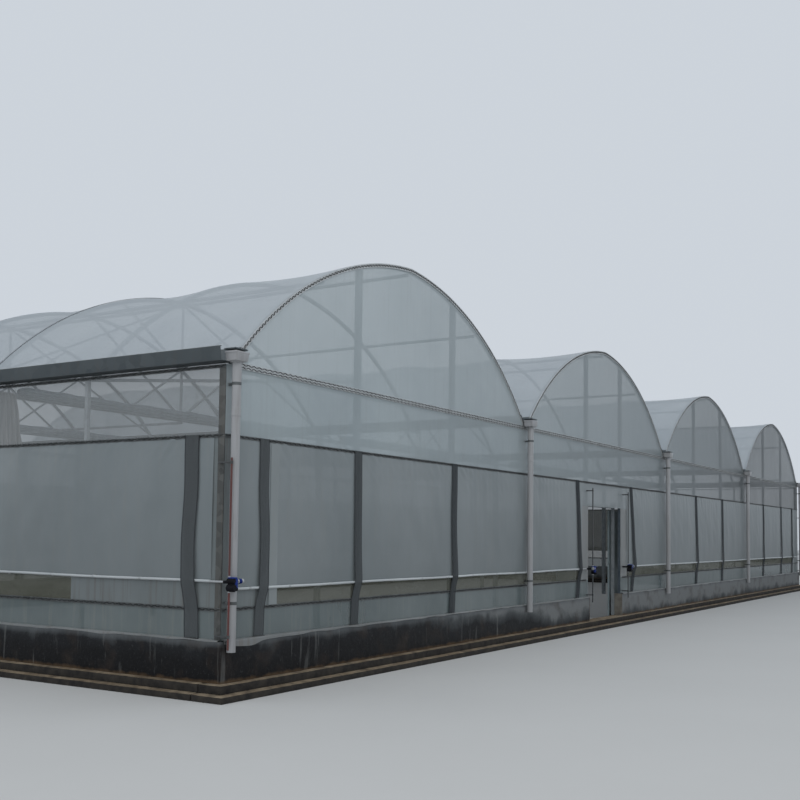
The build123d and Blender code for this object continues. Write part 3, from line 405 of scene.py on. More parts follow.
def net(name):
    """Insect net: a fine green-grey weave with dust in its meshes."""
    n = Nodes(name)
    weave = n.node("TexWave", wave_type="BANDS", bands_direction="DIAGONAL", Scale=55.0, Distortion=0.4,
                   Vector=n.mapped()).outputs["Fac"]
    tone = n.ramp(n.noise((0.8, 0.8, 2.2), 1.8, 5), [(0.25, (0.125, 0.128, 0.10)), (0.8, (0.19, 0.19, 0.16))])
    n.bump(weave, 0.2, 0.002)
    n.done(n.mix(n.math("MULTIPLY", weave, 0.3), tone, (0.06, 0.07, 0.05)), 0.8, Alpha=0.68, Specular_IOR_Level=0.2)


def strap(name):
    """Folded shade netting: dark ribs along its length over a paler mesh, in the strap's own cut coordinates;
    painted shade darkens it towards the right end of the row.
    """
    n = Nodes(name)
    cut = n.coords.outputs["UV"]
    edge = n.math("ABSOLUTE", n.math("SUBTRACT", n.axis(0, cut), 0.5))
    rib = n.node("TexWave", wave_type="BANDS", bands_direction="X", Scale=9.0, Distortion=1.2, Detail_Scale=0.6,
                 Vector=cut).outputs["Fac"]
    knit = n.node("TexBrick", Scale=26.0, Vector=cut, Color1=(0.085, 0.094, 0.098), Color2=(0.125, 0.137, 0.143),
                  Mortar=(0.045, 0.05, 0.053))
    tone = n.mix(n.math("MULTIPLY", rib, 0.5), knit.outputs["Color"], (0.050, 0.056, 0.060))
    tone = n.mix(n.share(edge, 0.40, 0.47, 0.85), tone, (0.018, 0.02, 0.023))
    # painted shade: the straps turn darker towards the right end of the row
    tone = n.mix(n.share(n.axis(0), -15.6, -8.0, 0.8), tone, (0.016, 0.02, 0.025))
    n.bump(rib, 0.3, 0.003)
    n.done(tone, 0.75, Alpha=0.88, Specular_IOR_Level=0.25)


def cloth(name, dark, light):
    """Woven sheet: soft streaks of tone that paint the light and shade of folds, and a fine thread pattern."""
    n = Nodes(name)
    # painted light and shade of folds: the tone runs in up-and-down streaks from dark to light
    tone = n.ramp(n.noise((6, 6, 0.6), 1.8, 5), [(0.3, dark), (0.72, light)])
    thread = n.node("TexWave", wave_type="BANDS", bands_direction="Z", Scale=120.0, Vector=n.mapped()).outputs["Fac"]
    n.bump(thread, 0.15, 0.002)
    n.done(n.mix(n.math("MULTIPLY", thread, 0.18), tone, dark), 0.85, Specular_IOR_Level=0.2, Sheen_Weight=0.25)


def brick(name):
    """Bare bricks at the cut ends of the knee wall, with thick grey joints."""
    n = Nodes(name)
    quarter = math.radians(90)
    bricks = n.node("TexBrick", Scale=1.0, Vector=n.mapped(turn=(quarter, 0, quarter)), Color1=(0.26, 0.085, 0.05),
                    Color2=(0.17, 0.06, 0.04), Mortar=(0.17, 0.16, 0.14), Mortar_Size=0.01, Brick_Width=0.24,
                    Row_Height=0.065)
    grime = n.noise(EVEN, 8, 6, 0.6)
    n.bump(n.math("SUBTRACT", grime, n.math("MULTIPLY", bricks.outputs["Fac"], 0.8)), 0.6, 0.01)
    n.done(n.mix(n.between(grime, 0.42, 0.85), bricks.outputs["Color"], (0.07, 0.06, 0.05)), 0.9)


# Films: clear and milky tone, alpha, roughness, wrinkles per axis, dust, and painted shade to the right and to the
# foot.
film("roof_film", (0.40, 0.445, 0.48), (0.46, 0.505, 0.535), 0.73, 0.46, (0.8, 3.0, 0.8), 0.12)
film("gable_film", (0.52, 0.595, 0.62), (0.60, 0.67, 0.695), 0.61, 0.30, (1.2, 1.2, 0.8), 0.15, painted_shade_right=0.8)
film("band_film", (0.42, 0.485, 0.51), (0.50, 0.57, 0.59), 0.66, 0.30, (1.6, 1.6, 0.9), 0.2, painted_shade_right=0.95)
film("clear_film", (0.50, 0.53, 0.54), (0.58, 0.61, 0.62), 0.38, 0.16, (1.6, 1.6, 0.9), 0.3)
film("curtain_film", (0.21, 0.24, 0.25), (0.27, 0.30, 0.31), 0.86, 0.34, (2.6, 2.6, 0.35), 0.2, painted_shade_right=0.1, painted_shade_foot=0.2)
film("fixed_film", (0.14, 0.163, 0.166), (0.19, 0.213, 0.218), 0.9, 0.32, (2.0, 2.0, 0.5), 0.7, (0.10, 0.075, 0.055))
film("skirt_film", (0.095, 0.125, 0.128), (0.15, 0.183, 0.185), 0.78, 0.26, (1.2, 1.2, 2.4), 0.3)
film("hem_film", (0.17, 0.18, 0.18), (0.25, 0.26, 0.26), 0.9, 0.35, (2.0, 2.0, 2.0), 0.6, (0.14, 0.11, 0.085))
film("edge_film", (0.25, 0.28, 0.285), (0.31, 0.34, 0.345), 0.75, 0.3, (2.6, 2.6, 0.35), 0.2)
film("rolled_film", (0.40, 0.43, 0.44), (0.52, 0.55, 0.56), 1.0, 0.3, (1.0, 1.0, 12.0), 0.3)
# Metals: dark and light tone, roughness, metallic, spangles, stain.
metal("zinc", (0.17, 0.19, 0.205), (0.26, 0.285, 0.30), metallic=0.3, stain=(0.06, 0.045, 0.03))
metal("post_steel", (0.045, 0.06, 0.075), (0.075, 0.095, 0.115), metallic=0.2, stain=(0.04, 0.03, 0.025))
metal("gutter_metal", (0.055, 0.068, 0.075), (0.085, 0.10, 0.107), 0.45, 0.35, 6.0, stain_amount=0.4)
metal("gutter_lip", (0.15, 0.17, 0.165), (0.21, 0.23, 0.225), 0.45, 0.35, 6.0, stain_amount=0.3)
metal("lock_metal", (0.055, 0.06, 0.062), (0.13, 0.14, 0.142), 0.4, 0.4, 20.0)
metal("dark_column_steel", (0.05, 0.052, 0.05), (0.11, 0.113, 0.108), 0.5, 0.2, 9.0, (0.11, 0.09, 0.07), 0.6)
metal("arch_lock_metal", (0.48, 0.50, 0.505), (0.62, 0.64, 0.645), 0.4, 0.4, 20.0)
metal("roll_pipe_metal", (0.36, 0.38, 0.39), (0.50, 0.52, 0.53), 0.4, 0.5, 20.0)
metal("motor_silver", (0.32, 0.33, 0.34), (0.46, 0.47, 0.48), 0.3, 0.6, 60.0, stain_amount=0.3)
# Plastics and paint: tone, worn tone, roughness, size of the patches, grime, specular.
plastic("white_pvc", (0.37, 0.375, 0.39), (0.31, 0.31, 0.31), 0.32, 2.0, grime_amount=0.45)
plastic("pole_red", (0.12, 0.027, 0.023), (0.08, 0.03, 0.027), 0.45, 6.0)
plastic("pole_grey", (0.06, 0.065, 0.068), (0.035, 0.038, 0.04), 0.4, 6.0)
plastic("motor_blue", (0.004, 0.022, 0.17), (0.008, 0.032, 0.22), 0.45, 9.0, (0.02, 0.02, 0.03), 0.4, 0.3)
plastic("motor_black", (0.003, 0.003, 0.005), (0.007, 0.007, 0.010), 0.55, 9.0, (0.02, 0.018, 0.016), 0.3, 0.12)
plastic("wiggle_wire", (0.008, 0.009, 0.009), (0.02, 0.021, 0.02), 0.4, 30.0)
plastic("leaf_panel", (0.22, 0.275, 0.29), (0.28, 0.335, 0.35), 0.35, 2.0)
plinth("plinth_render")
footing("footing_kerb")
net("insect_net")
strap("strap_net")
cloth("shade_cloth", (0.08, 0.108, 0.124), (0.15, 0.188, 0.208))
cloth("hanging_cloth", (0.22, 0.205, 0.195), (0.46, 0.44, 0.415))
brick("brick_ends")

NODE_LOOK = {"gable_posts": "post_steel", "door_leaf_left": "leaf_panel", "door_leaf_right": "leaf_panel"}
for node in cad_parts:
    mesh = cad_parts[node].data
    mesh.materials.clear()
    mesh.materials.append(LOOK[NODE_LOOK.get(node, "zinc")])


# ---- roof
def roof_sheets():
    """Film over each span, as half sheets that meet at the ridge. Between two arches it sinks by the parabola
    4 * depth * s * (1 - s), s running from arch to arch; the sinking fades at the gutters, and it is stopped
    where the film lies on a purlin. Fine stretch ripples lie on top."""
    past, film_thick = 0.064, 0.004
    depths = np.array([0.055, 0.085, 0.085, 0.085, 0.085, 0.055])
    y = np.linspace(FRONT - past, BACK + past, 151)[None, :]
    foot = (math.asin((4.034 - CENTRE_Z) / (RADIUS + film_thick)) - ARC_FOOT) / (ARC_RIDGE - ARC_FOOT)
    t = np.linspace(foot, 1.0, 40)[:, None]
    s = np.clip((y - FRONT) / BAY, 0, BAYS)
    bay = np.minimum(s.astype(int), BAYS - 1)
    s = s - bay
    up = (t - foot) / (1 - foot)
    line_x, _ = arch_xz(t, 0.0, 0)
    rng = np.random.default_rng(5)
    for half, node in enumerate(("roof_film_left", "roof_film_right")):
        for i, vx in enumerate(SPANS):
            sink = 4 * rng.uniform(0.9, 1.1, BAYS)[bay] * depths[bay] * s * (1 - s) * up**0.5
            for purlin in (0.235 * SPAN, SPAN / 2):
                sink = np.minimum(sink, 0.053 + 0.10 * np.abs(line_x - purlin))
            sink = np.where((y > FRONT) & (y < BACK), sink, 0.0)
            fine = 0.0025 * ripples(t * 5.2, y, 10 + i + 4 * half, 9, 0.5, 2.4)
            fine = fine * np.sin(math.pi * up) * 4 * s * (1 - s)
            x, z = arch_xz(t, -film_thick + sink + fine, half)
            hang(f"roof_sheet_{'LR'[half]}{i + 1}", grid(vx + x, y, z), "roof_film", "roof_film", node,
                 rests_on=["roof_arches"])


def roof_seams():
    """Two thin dark cords that press the film on the arches of the main frames."""
    bag = Bag()
    t = np.linspace(0.05, 1.0, 40)
    for vx in SPANS:
        for y in MAIN_YS:
            for half in (0, 1):
                x, z = arch_xz(t, -0.0065, half)
                for side, radius in ((-0.016, 0.0028), (0.016, 0.0012)):
                    sweep(bag, grid(vx + x, y + side, z), ring(radius, 5), (0, 1, 0))
    bag.piece("roof_seam_cords", "wiggle_wire", "lock_channel")


def arch_tubes():
    """Every arch as a rounded tube bent along the true arc, from its foot on the gutter line to the ridge."""
    t = np.linspace(0.012, 0.999, 28)
    for half, (name, node) in enumerate((("roof_arches", "arches_left"), ("roof_arches_far_halves", "arches_right"))):
        bag = Bag()
        x, z = arch_xz(t, 0.033, half)
        for vx in SPANS:
            for y in ARCH_YS:
                sweep(bag, grid(vx + x, y, z), rounded(0.058, 0.054, 0.012), (0, 1, 0))
        bag.piece(name, "zinc", "galvanised_steel", node)


arch_tubes()
roof_sheets()
roof_seams()


# ---- walls
def gable_sheets():
    """The arched pane over each chord: x runs between the valleys, height from the chord to the arch; it
    ripples by a few millimetres, most in the middle of each field between two posts."""
    edge, foot = 0.013, 3.812
    x = np.linspace(edge, SPAN - edge, 101)[:, None]
    v = np.linspace(0, 1, 24)[None, :]
    z = foot + (arch_top(x, 0.006) - foot) * v
    quiet = np.abs(np.sin(3 * math.pi * x / SPAN)) * np.sin(math.pi * v)
    for wall in GABLES:
        for i, vx in enumerate(SPANS):
            out = SKIN + 0.001 + 0.0018 * quiet * ripples(x, z, 40 + i, 12, 0.25, 1.6)
            hang(f"gable_sheet_{wall}_{i + 1}", on_wall(wall, vx + x, out, z), "gable_film", "gable_film",
                 "gable_film_" + wall, rests_on=["roof_arches", "gable_posts"])


gable_sheets()


def wall_fields(wall):
    """A wall's run, split at the valleys on the gables."""
    cuts = [-REACH[wall], *(VALLEYS[1:-1] if wall in GABLES else ()), REACH[wall]]
    return list(zip(cuts[:-1], cuts[1:]))


def ripple_sheet(name, wall, run, heights, out, depth, seed, look, slot, *nodes, step=0.07, rows=14, lean=None,
                 waves=(0.2, 1.4), rests_on=("lock_frames",)):
    """A flat sheet on a wall, rippled by depth in metres, still along its upper and lower edge."""
    (a0, a1), (z0, z1) = run, heights
    along = np.linspace(a0, a1, max(12, int((a1 - a0) / step)))[:, None]
    v = np.linspace(0, 1, rows)[None, :]
    z = z0 + (z1 - z0) * v
    wave = depth * np.sin(math.pi * v) ** 0.6 * ripples(along, z, seed, 14, *waves, lean)
    hang(name, on_wall(wall, along, out + wave, z), look, slot, *nodes, rests_on=rests_on)


def band_sheets():
    """Clear film between the chord and the curtains' lock: nearly flat, with slanting pulls under the chord."""
    for wall in WALLS:
        for i, run in enumerate(wall_fields(wall)):
            ripple_sheet(f"band_sheet_{wall}_{i + 1}", wall, run, (BAND_LOW, BAND_TOP), SKIN, 0.0011, 60 + i,
                         "clear_film" if wall == "left" else "band_film", "gable_film", "band_films", lean=0.9)


def corner_covers():
    """The corner columns' dark outer faces, with runs, which show beside the downpipes from the wall's top
    to its foot.
    """
    bag = Bag()
    for x in (LEFT - 0.0575, RIGHT + 0.0575):
        for y in (FRONT - 0.007, BACK + 0.007):
            bar(bag, (x, y, 0.664), (x, y, 3.76), 0.092, 0.011, (0, 1, 0), 0.003)
    bag.piece("corner_column_faces", "dark_column_steel", "galvanised_steel")


def lower_sheets():
    """Net behind the curtains, skirt film under it, the fixed strips at the corners and the curtains' edges, and
    the fixed film around the doorway."""
    behind, below = (LOW_LOCK, MID_LOCK), (SKIRT_FOOT, LOW_LOCK)
    for wall in WALLS:
        for i, run in enumerate(wall_fields(wall)):
            has_door = run[0] < DOOR < run[1] and wall == "front"
            for k, part in enumerate(around_door(*run, FIXED_HALF) if has_door else [run]):
                ripple_sheet(f"net_{wall}_{i + 1}_{k + 1}", wall, part, behind, SKIN, 0.0008, 80 + i,
                             "insect_net", "insect_net", "insect_nets", step=0.16, rows=12)
            for k, part in enumerate(around_door(*run, DOOR_HALF) if has_door else [run]):
                ripple_sheet(f"skirt_{wall}_{i + 1}_{k + 1}", wall, part, below, SKIN, 0.0016, 90 + i,
                             "skirt_film", "skirt_film", "skirt_films", rows=10, waves=(0.12, 0.9))
    for wall in WALLS:
        reach, wide = REACH[wall], 1.0 if wall in GABLES else 2.47
        for k, run in enumerate(((-reach, -reach + wide), (reach - wide, reach))):
            ripple_sheet(f"corner_strip_{wall}_{k + 1}", wall, run, behind, SKIN + 0.0022, 0.0008, 120 + k,
                         "fixed_film", "skirt_film", step=0.05, rows=30)
    for wall in GABLES:
        for side, start in (("L", -15.225), ("R", 15.075)):
            ripple_sheet(f"edge_strip_{wall}_{side}", wall, (start, start + 0.15), (1.02, 2.955), 0.0672, 0.0006,
                         131, "edge_film", "curtain_film", step=0.0125, rows=40)
    ripple_sheet("door_sheet", "front", (DOOR - FIXED_HALF, DOOR + FIXED_HALF), (2.5, 2.975), SKIN, 0.001, 99,
                 "curtain_film", "gable_film", "door_film", rests_on=["door_header"])
    for k, run in enumerate(((DOOR - FIXED_HALF, DOOR - DOOR_HALF), (DOOR + DOOR_HALF, DOOR + FIXED_HALF))):
        ripple_sheet(f"door_side_sheet_{k + 1}", "front", run, (1.002, 2.498), SKIN, 0.001, 97 + k,
                     "hem_film", "skirt_film", "door_strips", step=0.04, rows=24, rests_on=["gable_posts"])


band_sheets()
corner_covers()
lower_sheets()


# ---- lock channels with their wire
def lock_runs():
    """Every straight run of lock channel: wall, start, end, height, width."""
    runs = []
    for wall in WALLS:
        reach, wide = REACH[wall], 0.04
        low = around_door(-reach, reach, 1.05) if wall == "front" else [(-reach, reach)]
        runs += [(wall, *run, LOW_LOCK, wide) for run in low]
        runs.append((wall, -reach, reach, MID_LOCK, wide))
        if wall in GABLES:
            runs += [(wall, -15.95, 15.95, z, 0.034) for z in (3.7925, 3.8275)]
        else:
            runs.append((wall, -reach, reach, 3.7797, wide))
    return runs


def lock_section(tall):
    """An open channel: floor against the wall, two sides, and lips that lean inwards. Across, then outwards."""
    h = tall / 2
    d = LOCK_OUT - LOCK_IN
    side = [(-h, 0), (-h, 0.8 * d), (-h + 0.002, d), (-0.6 * h, d), (-0.55 * h, 0.8 * d), (-0.68 * h, 0.35 * d)]
    return np.array(side + [(-across, out) for across, out in side[::-1]])


def locks():
    """Channels along the walls and the gable arches, with a sine-shaped wire: pitch 0.1 m, swing 10 to 16 mm."""
    channel, arched, wire = Bag(), Bag(), Bag()
    for wall, a0, a1, z, tall in lock_runs():
        path = on_wall(wall, np.array([a0, a0 + 0.001, a1 - 0.001, a1]), LOCK_IN, z)
        flip = 1 if wall in ("front", "right") else -1
        bag, share, radius = (channel, 0.24, 0.0052) if tall > 0.035 else (arched, 0.36, 0.0058)
        sweep(bag, path, lock_section(tall) * np.array([1, flip]), (0, 0, 1))
        s = np.arange(a0 + 0.02, a1 - 0.02, WIRE_STEP)
        swing = share * tall * np.sin(math.tau * s / WIRE_PITCH)
        sweep(wire, on_wall(wall, s, WIRE_OUT, z + swing), ring(radius, 3), OUTWARDS[wall], caps=False)
    start, depth = 0.012, 0.026
    t = start + (1 - start) * np.linspace(0.0, 1.0, 48)
    s = np.arange(0, 6.2, WIRE_STEP)
    swing = 0.016 * np.sin(math.tau * s / WIRE_PITCH)
    for wall in GABLES:
        for vx in SPANS:
            for half in (0, 1):
                x, z = arch_xz(t, depth, half)
                path = on_wall(wall, vx + x, LOCK_IN, z)
                centre = vx + (CENTRE_X if half == 0 else SPAN - CENTRE_X)
                outwards = grid(path[:, 0] - centre, 0.0, path[:, 2] - CENTRE_Z)
                flip = 1 if (wall == "front") == (half == 0) else -1
                sweep(arched, path, lock_section(0.054) * np.array([1, flip]), outwards)
                x, z = arch_xz(start + (1 - start) * s / s[-1], depth - swing, half)
                sweep(wire, on_wall(wall, vx + x, WIRE_OUT, z), ring(0.0056, 3), OUTWARDS[wall], caps=False)
    channel.piece("lock_frames", "lock_metal", "lock_channel", "lock_channels")
    arched.piece("arch_lock_frames", "arch_lock_metal", "lock_channel", "lock_channels")
    wire.piece("lock_wires", "wiggle_wire", "lock_channel")


locks()


# ---- curtains, pipes and straps
def curtain_sheet(name, node, wall, a0, a1, seed, pipe):
    """A hanging curtain: pleats that leave the lock and fade downwards, a belly between the straps that
    presses out like sin(pi * height), slanting creases under the lock beside each strap, and a foot that ends
    on its roll."""
    top, foot = MID_LOCK - 0.014, ROLL_Z[wall] + 0.006
    a = np.linspace(a0, a1, int((a1 - a0) / 0.045))[:, None]
    v = np.linspace(0, 1, 36)[None, :] ** 1.35
    z = top + (foot - top) * v
    free, pull = np.ones_like(a), np.zeros_like(a)
    for s in STRAPS[wall]:
        free = np.minimum(free, np.clip((np.abs(a - s) - 0.09) / 0.5, 0, 1))
        pull = np.maximum(pull, np.exp(-(((a - s - 0.22) / 0.28) ** 2)))
    free = free * free * (3 - 2 * free)
    ends = np.clip(np.minimum(a - a0, a1 - a) / 0.4, 0, 1)
    belly = (0.020 + 0.006 * ripples(a, z * 0.3, seed, 5, 1.5, 6)) * np.sin(math.pi * v) * free
    pleat = 0.0035 * ripples(a, z * 0.12, seed + 1, 14, 0.12, 0.8, 0.0) * np.exp(-2.2 * v)
    drape = 0.0045 * ripples(a, z * 0.25, seed + 2, 12, 0.35, 1.8, 0.0) * np.sin(math.pi * v * 0.9)
    slant = 0.003 * ripples(a, z, seed + 3, 12, 0.25, 0.9, 0.65) * np.sin(math.pi * v)
    crease = (0.003 + 0.012 * pull) * ripples(a, z, seed + 4, 14, 0.09, 0.24, 0.62) * np.exp(-(MID_LOCK - z) / 0.22)
    folds = (pleat + drape + slant + crease) * (0.25 + 0.75 * free) * ends
    out = CURTAIN_OUT + np.maximum(belly + folds, -0.0012)
    hang(name, on_wall(wall, a, out, z), "curtain_film", "curtain_film", node,
         rests_on=["lock_frames", pipe], held="hung")


def roll_pipe(name, wall, a0, a1, c0, c1):
    """A roll pipe from a0 to a1 with the curtain's foot wound on it from c0 to c1: a spiral whose radius grows
    by 0.6 mm each half turn, with clips every 0.8 m."""
    z = ROLL_Z[wall]
    a = np.linspace(c0, c1, int((c1 - c0) / 0.12))
    theta = np.linspace(-math.pi / 2, 3.2 * math.pi, 34)[None, :]
    radius = 0.0150 + 0.0006 * theta / math.pi + 0.0009 * ripples(a[:, None], theta * 0.15, 7, 8, 0.2, 1.6)
    sag = 0.004 * ripples(a, a * 0, 5, 4, 2.0, 7.0)
    out = PIPE_AXIS + radius * np.sin(theta)
    film_bag, bag = Bag(), Bag()
    film_bag.add(on_wall(wall, a[:, None], out, z + sag[:, None] + radius * np.cos(theta)), sheet_faces(*radius.shape))
    film_bag.piece(name + "_wound_film", "rolled_film", "curtain_film", sharp=180)
    rod(bag, on_wall(wall, a0, PIPE_AXIS, z), on_wall(wall, a1, PIPE_AXIS, z), 0.0135)
    clips = np.arange(c0 + 0.3, c1 - 0.2, 0.8)
    rng = np.random.default_rng(int(abs(a0) * 100))
    for c in clips + rng.uniform(-0.05, 0.05, len(clips)):
        rod(bag, on_wall(wall, c - 0.02, PIPE_AXIS, z), on_wall(wall, c + 0.02, PIPE_AXIS, z), 0.0182, 14)
    bag.piece(name, "roll_pipe_metal", "galvanised_steel", "roll_pipes")


def curtains():
    """The five curtains and their pipes. On the front the doorway is between them; the back's is in two sheets."""
    film0, film1 = DOOR - 1.31, DOOR + 1.31
    y0, y1 = FRONT + 0.1, BACK - 0.1
    roll_pipe("roll_pipe_front_left", "front", -ROLL_END, DOOR - 1.0823, -ROLL_END, film0)
    roll_pipe("roll_pipe_front_right", "front", DOOR + 1.0823, ROLL_END, film1, ROLL_END)
    roll_pipe("roll_pipe_back", "back", -ROLL_END, ROLL_END, -ROLL_END, ROLL_END)
    for wall in ("left", "right"):
        roll_pipe("roll_pipe_" + wall, wall, FRONT - 0.1147, y1, y0, y1)
    for name, node, wall, a0, a1, seed, pipe in (
            ("front_1", "curtains_front", "front", -ROLL_END, film0, 200, "front_left"),
            ("front_2", "curtains_front", "front", film1, ROLL_END, 210, "front_right"),
            ("back_1", "curtain_back", "back", -ROLL_END, 0.0, 220, "back"),
            ("back_2", "curtain_back", "back", 0.0, ROLL_END, 230, "back"),
            ("side_1", "curtain_left", "left", y0, y1, 240, "left"),
            ("side_2", "curtain_right", "right", y0, y1, 250, "right")):
        curtain_sheet("curtain_" + name, node, wall, a0, a1, seed, "roll_pipe_" + pipe)


def strap_pieces():
    """Straps of folded netting: from over the lock, bulged out over the pipe, back to the low lock and the
    plinth. Across, three soft folds; each strap wanders and narrows a little on its way down."""
    bag, feet, uvs = Bag(), Bag(), []
    rows, columns = 60, 13
    front_leans = {3: 0.14, 4: 0.22, 5: 0.1}
    z = np.linspace(STRAP_TOP, STRAP_FOOT, rows)[None, :]
    u = np.linspace(0, 1, columns)[:, None]
    for wall in WALLS:
        roll_z = ROLL_Z[wall]
        base = np.interp(z, *zip(
            (0.655, 0.068), (0.8, 0.07), (0.98, 0.0695), (1.02, 0.0705), (1.12, 0.076),
            (roll_z - 0.02, 0.0925), (roll_z + 0.02, 0.0925), (roll_z + 0.5, 0.08),
            (2.6, 0.0725), (2.96, 0.069), (2.99, 0.0695), (3.0, 0.068)))
        wide = (0.182 if wall in GABLES else 0.225) - 0.012 * np.sin(math.pi * (z - 0.65) / 2.35) ** 2
        for i, s in enumerate(STRAPS[wall]):
            wander = 0.012 * ripples(z * 0 + 1, z, 300 + i, 4, 0.9, 2.6) * np.sin(math.pi * (STRAP_TOP - z) / 2.35)
            shift = np.interp(z, [0.65, 1.0, roll_z, STRAP_TOP], [-0.055, -0.035, 0.010, 0.0])
            if wall == "front":
                lean = front_leans.get(i, 0.0)
                shift = shift + np.interp(z, [0.65, roll_z, STRAP_TOP], [0.4 * lean, lean, 0.0])
            along = s + (u - 0.5) * wide + wander + shift
            fold = 0.0016 * np.cos(math.tau * (3 * u + 0.1 * i)) + 0.001 * ripples(u, z, 330 + i, 6, 0.3, 1.2)
            bag.add(on_wall(wall, along, base + np.maximum(fold, -0.0005), z), sheet_faces(columns, rows))
            uvs.append(np.stack(np.broadcast_arrays(u, z / 0.18), -1).reshape(-1, 2))
            ends = on_wall(wall, np.array([s - 0.165, s + 0.055]), 0.0725, 0.662)
            bar(feet, *ends, 0.016, 0.009, (0, 0, 1), 0.002)
    obj = bag.piece("strap_webs", "strap_net", "strap_mesh", "straps", sharp=180, uv=np.concatenate(uvs))
    feet.piece("strap_foot_bars", "wiggle_wire", "strap_mesh")


curtains()
strap_pieces()


# ---- masonry
def rough_block(name, lo, hi, look, slot, *nodes, cell=0.06, depth=0.006, seed=1, soft=0.012):
    """A cast or rendered block: a closed box grid whose edges are eased and whose faces are uneven."""
    lo, hi = np.asarray(lo, float), np.asarray(hi, float)
    bag = Bag()
    for axis in range(3):
        u_axis, v_axis = [k for k in range(3) if k != axis]
        nu, nv = (max(3, int((hi - lo)[k] / cell) + 1) for k in (u_axis, v_axis))
        for side in (0, 1):
            pts = np.zeros((nu, nv, 3))
            pts[..., u_axis] = np.linspace(lo[u_axis], hi[u_axis], nu)[:, None]
            pts[..., v_axis] = np.linspace(lo[v_axis], hi[v_axis], nv)[None, :]
            pts[..., axis] = hi[axis] if side else lo[axis]
            faces = sheet_faces(nu, nv)
            bag.add(pts, faces if (side == 1) != (axis == 1) else faces[:, ::-1])
    pts = np.concatenate(bag.points)
    centre, half = (lo + hi) / 2, (hi - lo) / 2
    edge = np.minimum(half - np.abs(pts - centre), soft) / soft
    bumps = ripples(pts[:, 0] + 0.7 * pts[:, 1], pts[:, 2] * 1.3 + 0.4 * pts[:, 1], seed, 26, 0.07, 0.9)
    shrink = depth * (0.5 + 0.25 * bumps)
    for k in range(3):
        on_face = edge[:, k] < 0.01
        other = np.minimum(edge[:, (k + 1) % 3], edge[:, (k + 2) % 3])
        ease = shrink + soft * 0.5 * (1 - other) ** 2
        if k == 2:
            on_face &= pts[:, 2] > lo[2] + 0.001
        pts[on_face, k] -= np.sign(pts[on_face, k] - centre[k]) * ease[on_face]
    bag.points = [pts]
    bag.piece(name, look, slot, *nodes, sharp=60)


def masonry():
    """The knee wall's runs, bare bricks at its cut ends beside the doorway, and the two kerb steps."""
    for node in ("plinth_front_left", "plinth_front_right", "plinth_back", "plinth_left", "plinth_right"):
        lo, hi = (np.array(corner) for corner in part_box(node)[:2])
        if node in ("plinth_left", "plinth_right"):
            lo[1], hi[1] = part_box("plinth_front_left")[0][1] - 0.002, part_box("plinth_back")[1][1] + 0.002
            outer = lo if node == "plinth_left" else hi
            outer[0] += np.sign(outer[0]) * 0.006
        rough_block(node + "_render", lo, hi, "plinth_render", "plinth_render", node, seed=len(node))
    for end, way in ((DOOR - DOOR_HALF, 1), (DOOR + DOOR_HALF, -1)):
        ends = np.array([(end, FRONT - 0.098, 0.182), (end + way * 0.006, FRONT + 0.138, 0.648)])
        rough_block(f"brick_end_{way}", ends.min(0), ends.max(0), "brick_ends", "plinth_render",
                    cell=0.03, depth=0.002, soft=0.002)
    split, tread = 0.08, 0.12
    treads = {"front": ((1, 1), (1, 0)), "back": ((1, 0), (1, 1)), "left": ((1, 0), (0, 0)), "right": ((0, 0), (1, 0))}
    for wall in WALLS:
        node = "footing_" + wall
        lo, hi = (np.array(corner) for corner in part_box(node)[:2])
        rough_block("kerb_low_" + wall, lo, (hi[0], hi[1], split), "footing_kerb", "footing", node, seed=11)
        lo[:2] += tread * np.array(treads[wall][0])
        hi[:2] -= tread * np.array(treads[wall][1])
        rough_block("kerb_high_" + wall, (lo[0], lo[1], split), hi, "footing_kerb", "footing", node, seed=13)


masonry()


def hems():
    """The skirt's foot: a pale strip of film that folds out over the top edge of the knee wall."""
    for wall in WALLS:
        reach = REACH[wall]
        runs = around_door(-reach, reach, DOOR_HALF + 0.05) if wall == "front" else [(-reach, reach)]
        for k, (a0, a1) in enumerate(runs):
            a = np.linspace(a0, a1, int((a1 - a0) / 0.05))[:, None]
            v = np.linspace(0, 1, 12)[None, :]
            drop = 0.2 + 0.2 * np.clip(ripples(a, a * 0, 400 + k + len(wall), 7, 0.5, 4.0), -1, 1.4)
            if wall == "front" and k == 0:
                drop = drop + 1.1 * np.exp(-(((a + 15.7) / 0.26) ** 4)) + 0.7 * np.exp(-(((a + 15.6) / 0.8) ** 2))
            out = 0.057 + (0.0405 + 0.004 * drop) * np.clip(v * 1.6, 0, 1)
            z = 0.664 - 0.012 * v - (0.006 + 0.035 * drop) * np.clip((v - 0.6) / 0.4, 0, 1)
            out = np.where(v > 0.6, np.maximum(out, 0.1005 + 0.003 * drop), out)
            z = np.maximum(z, np.where(out < 0.1, 0.6515, 0.55)) + 0.0015 * (1 + ripples(a, v, 410, 8, 0.15, 0.8))
            under = "plinth_front_left_render" if wall == "front" else f"plinth_{wall}_render"
            hang(f"hem_{wall}_{k + 1}", on_wall(wall, a, out, z), "hem_film", "skirt_film",
                 rests_on=[under] if a1 - a0 < 30 else (), held="laid")


hems()


# ---- gutters, hoppers and pipes
def first_run_x(z, shift):
    """Where the arch's lowest run, moved outwards, is at a height, as in the part's source."""
    x0, z0 = arch_xz(np.array([0.0, 1 / 8]), 0.0, 0)
    slope = (x0[1] - x0[0]) / (z0[1] - z0[0])
    return x0[0] + (z - z0[0]) * slope - shift * math.sqrt(1 + slope**2)


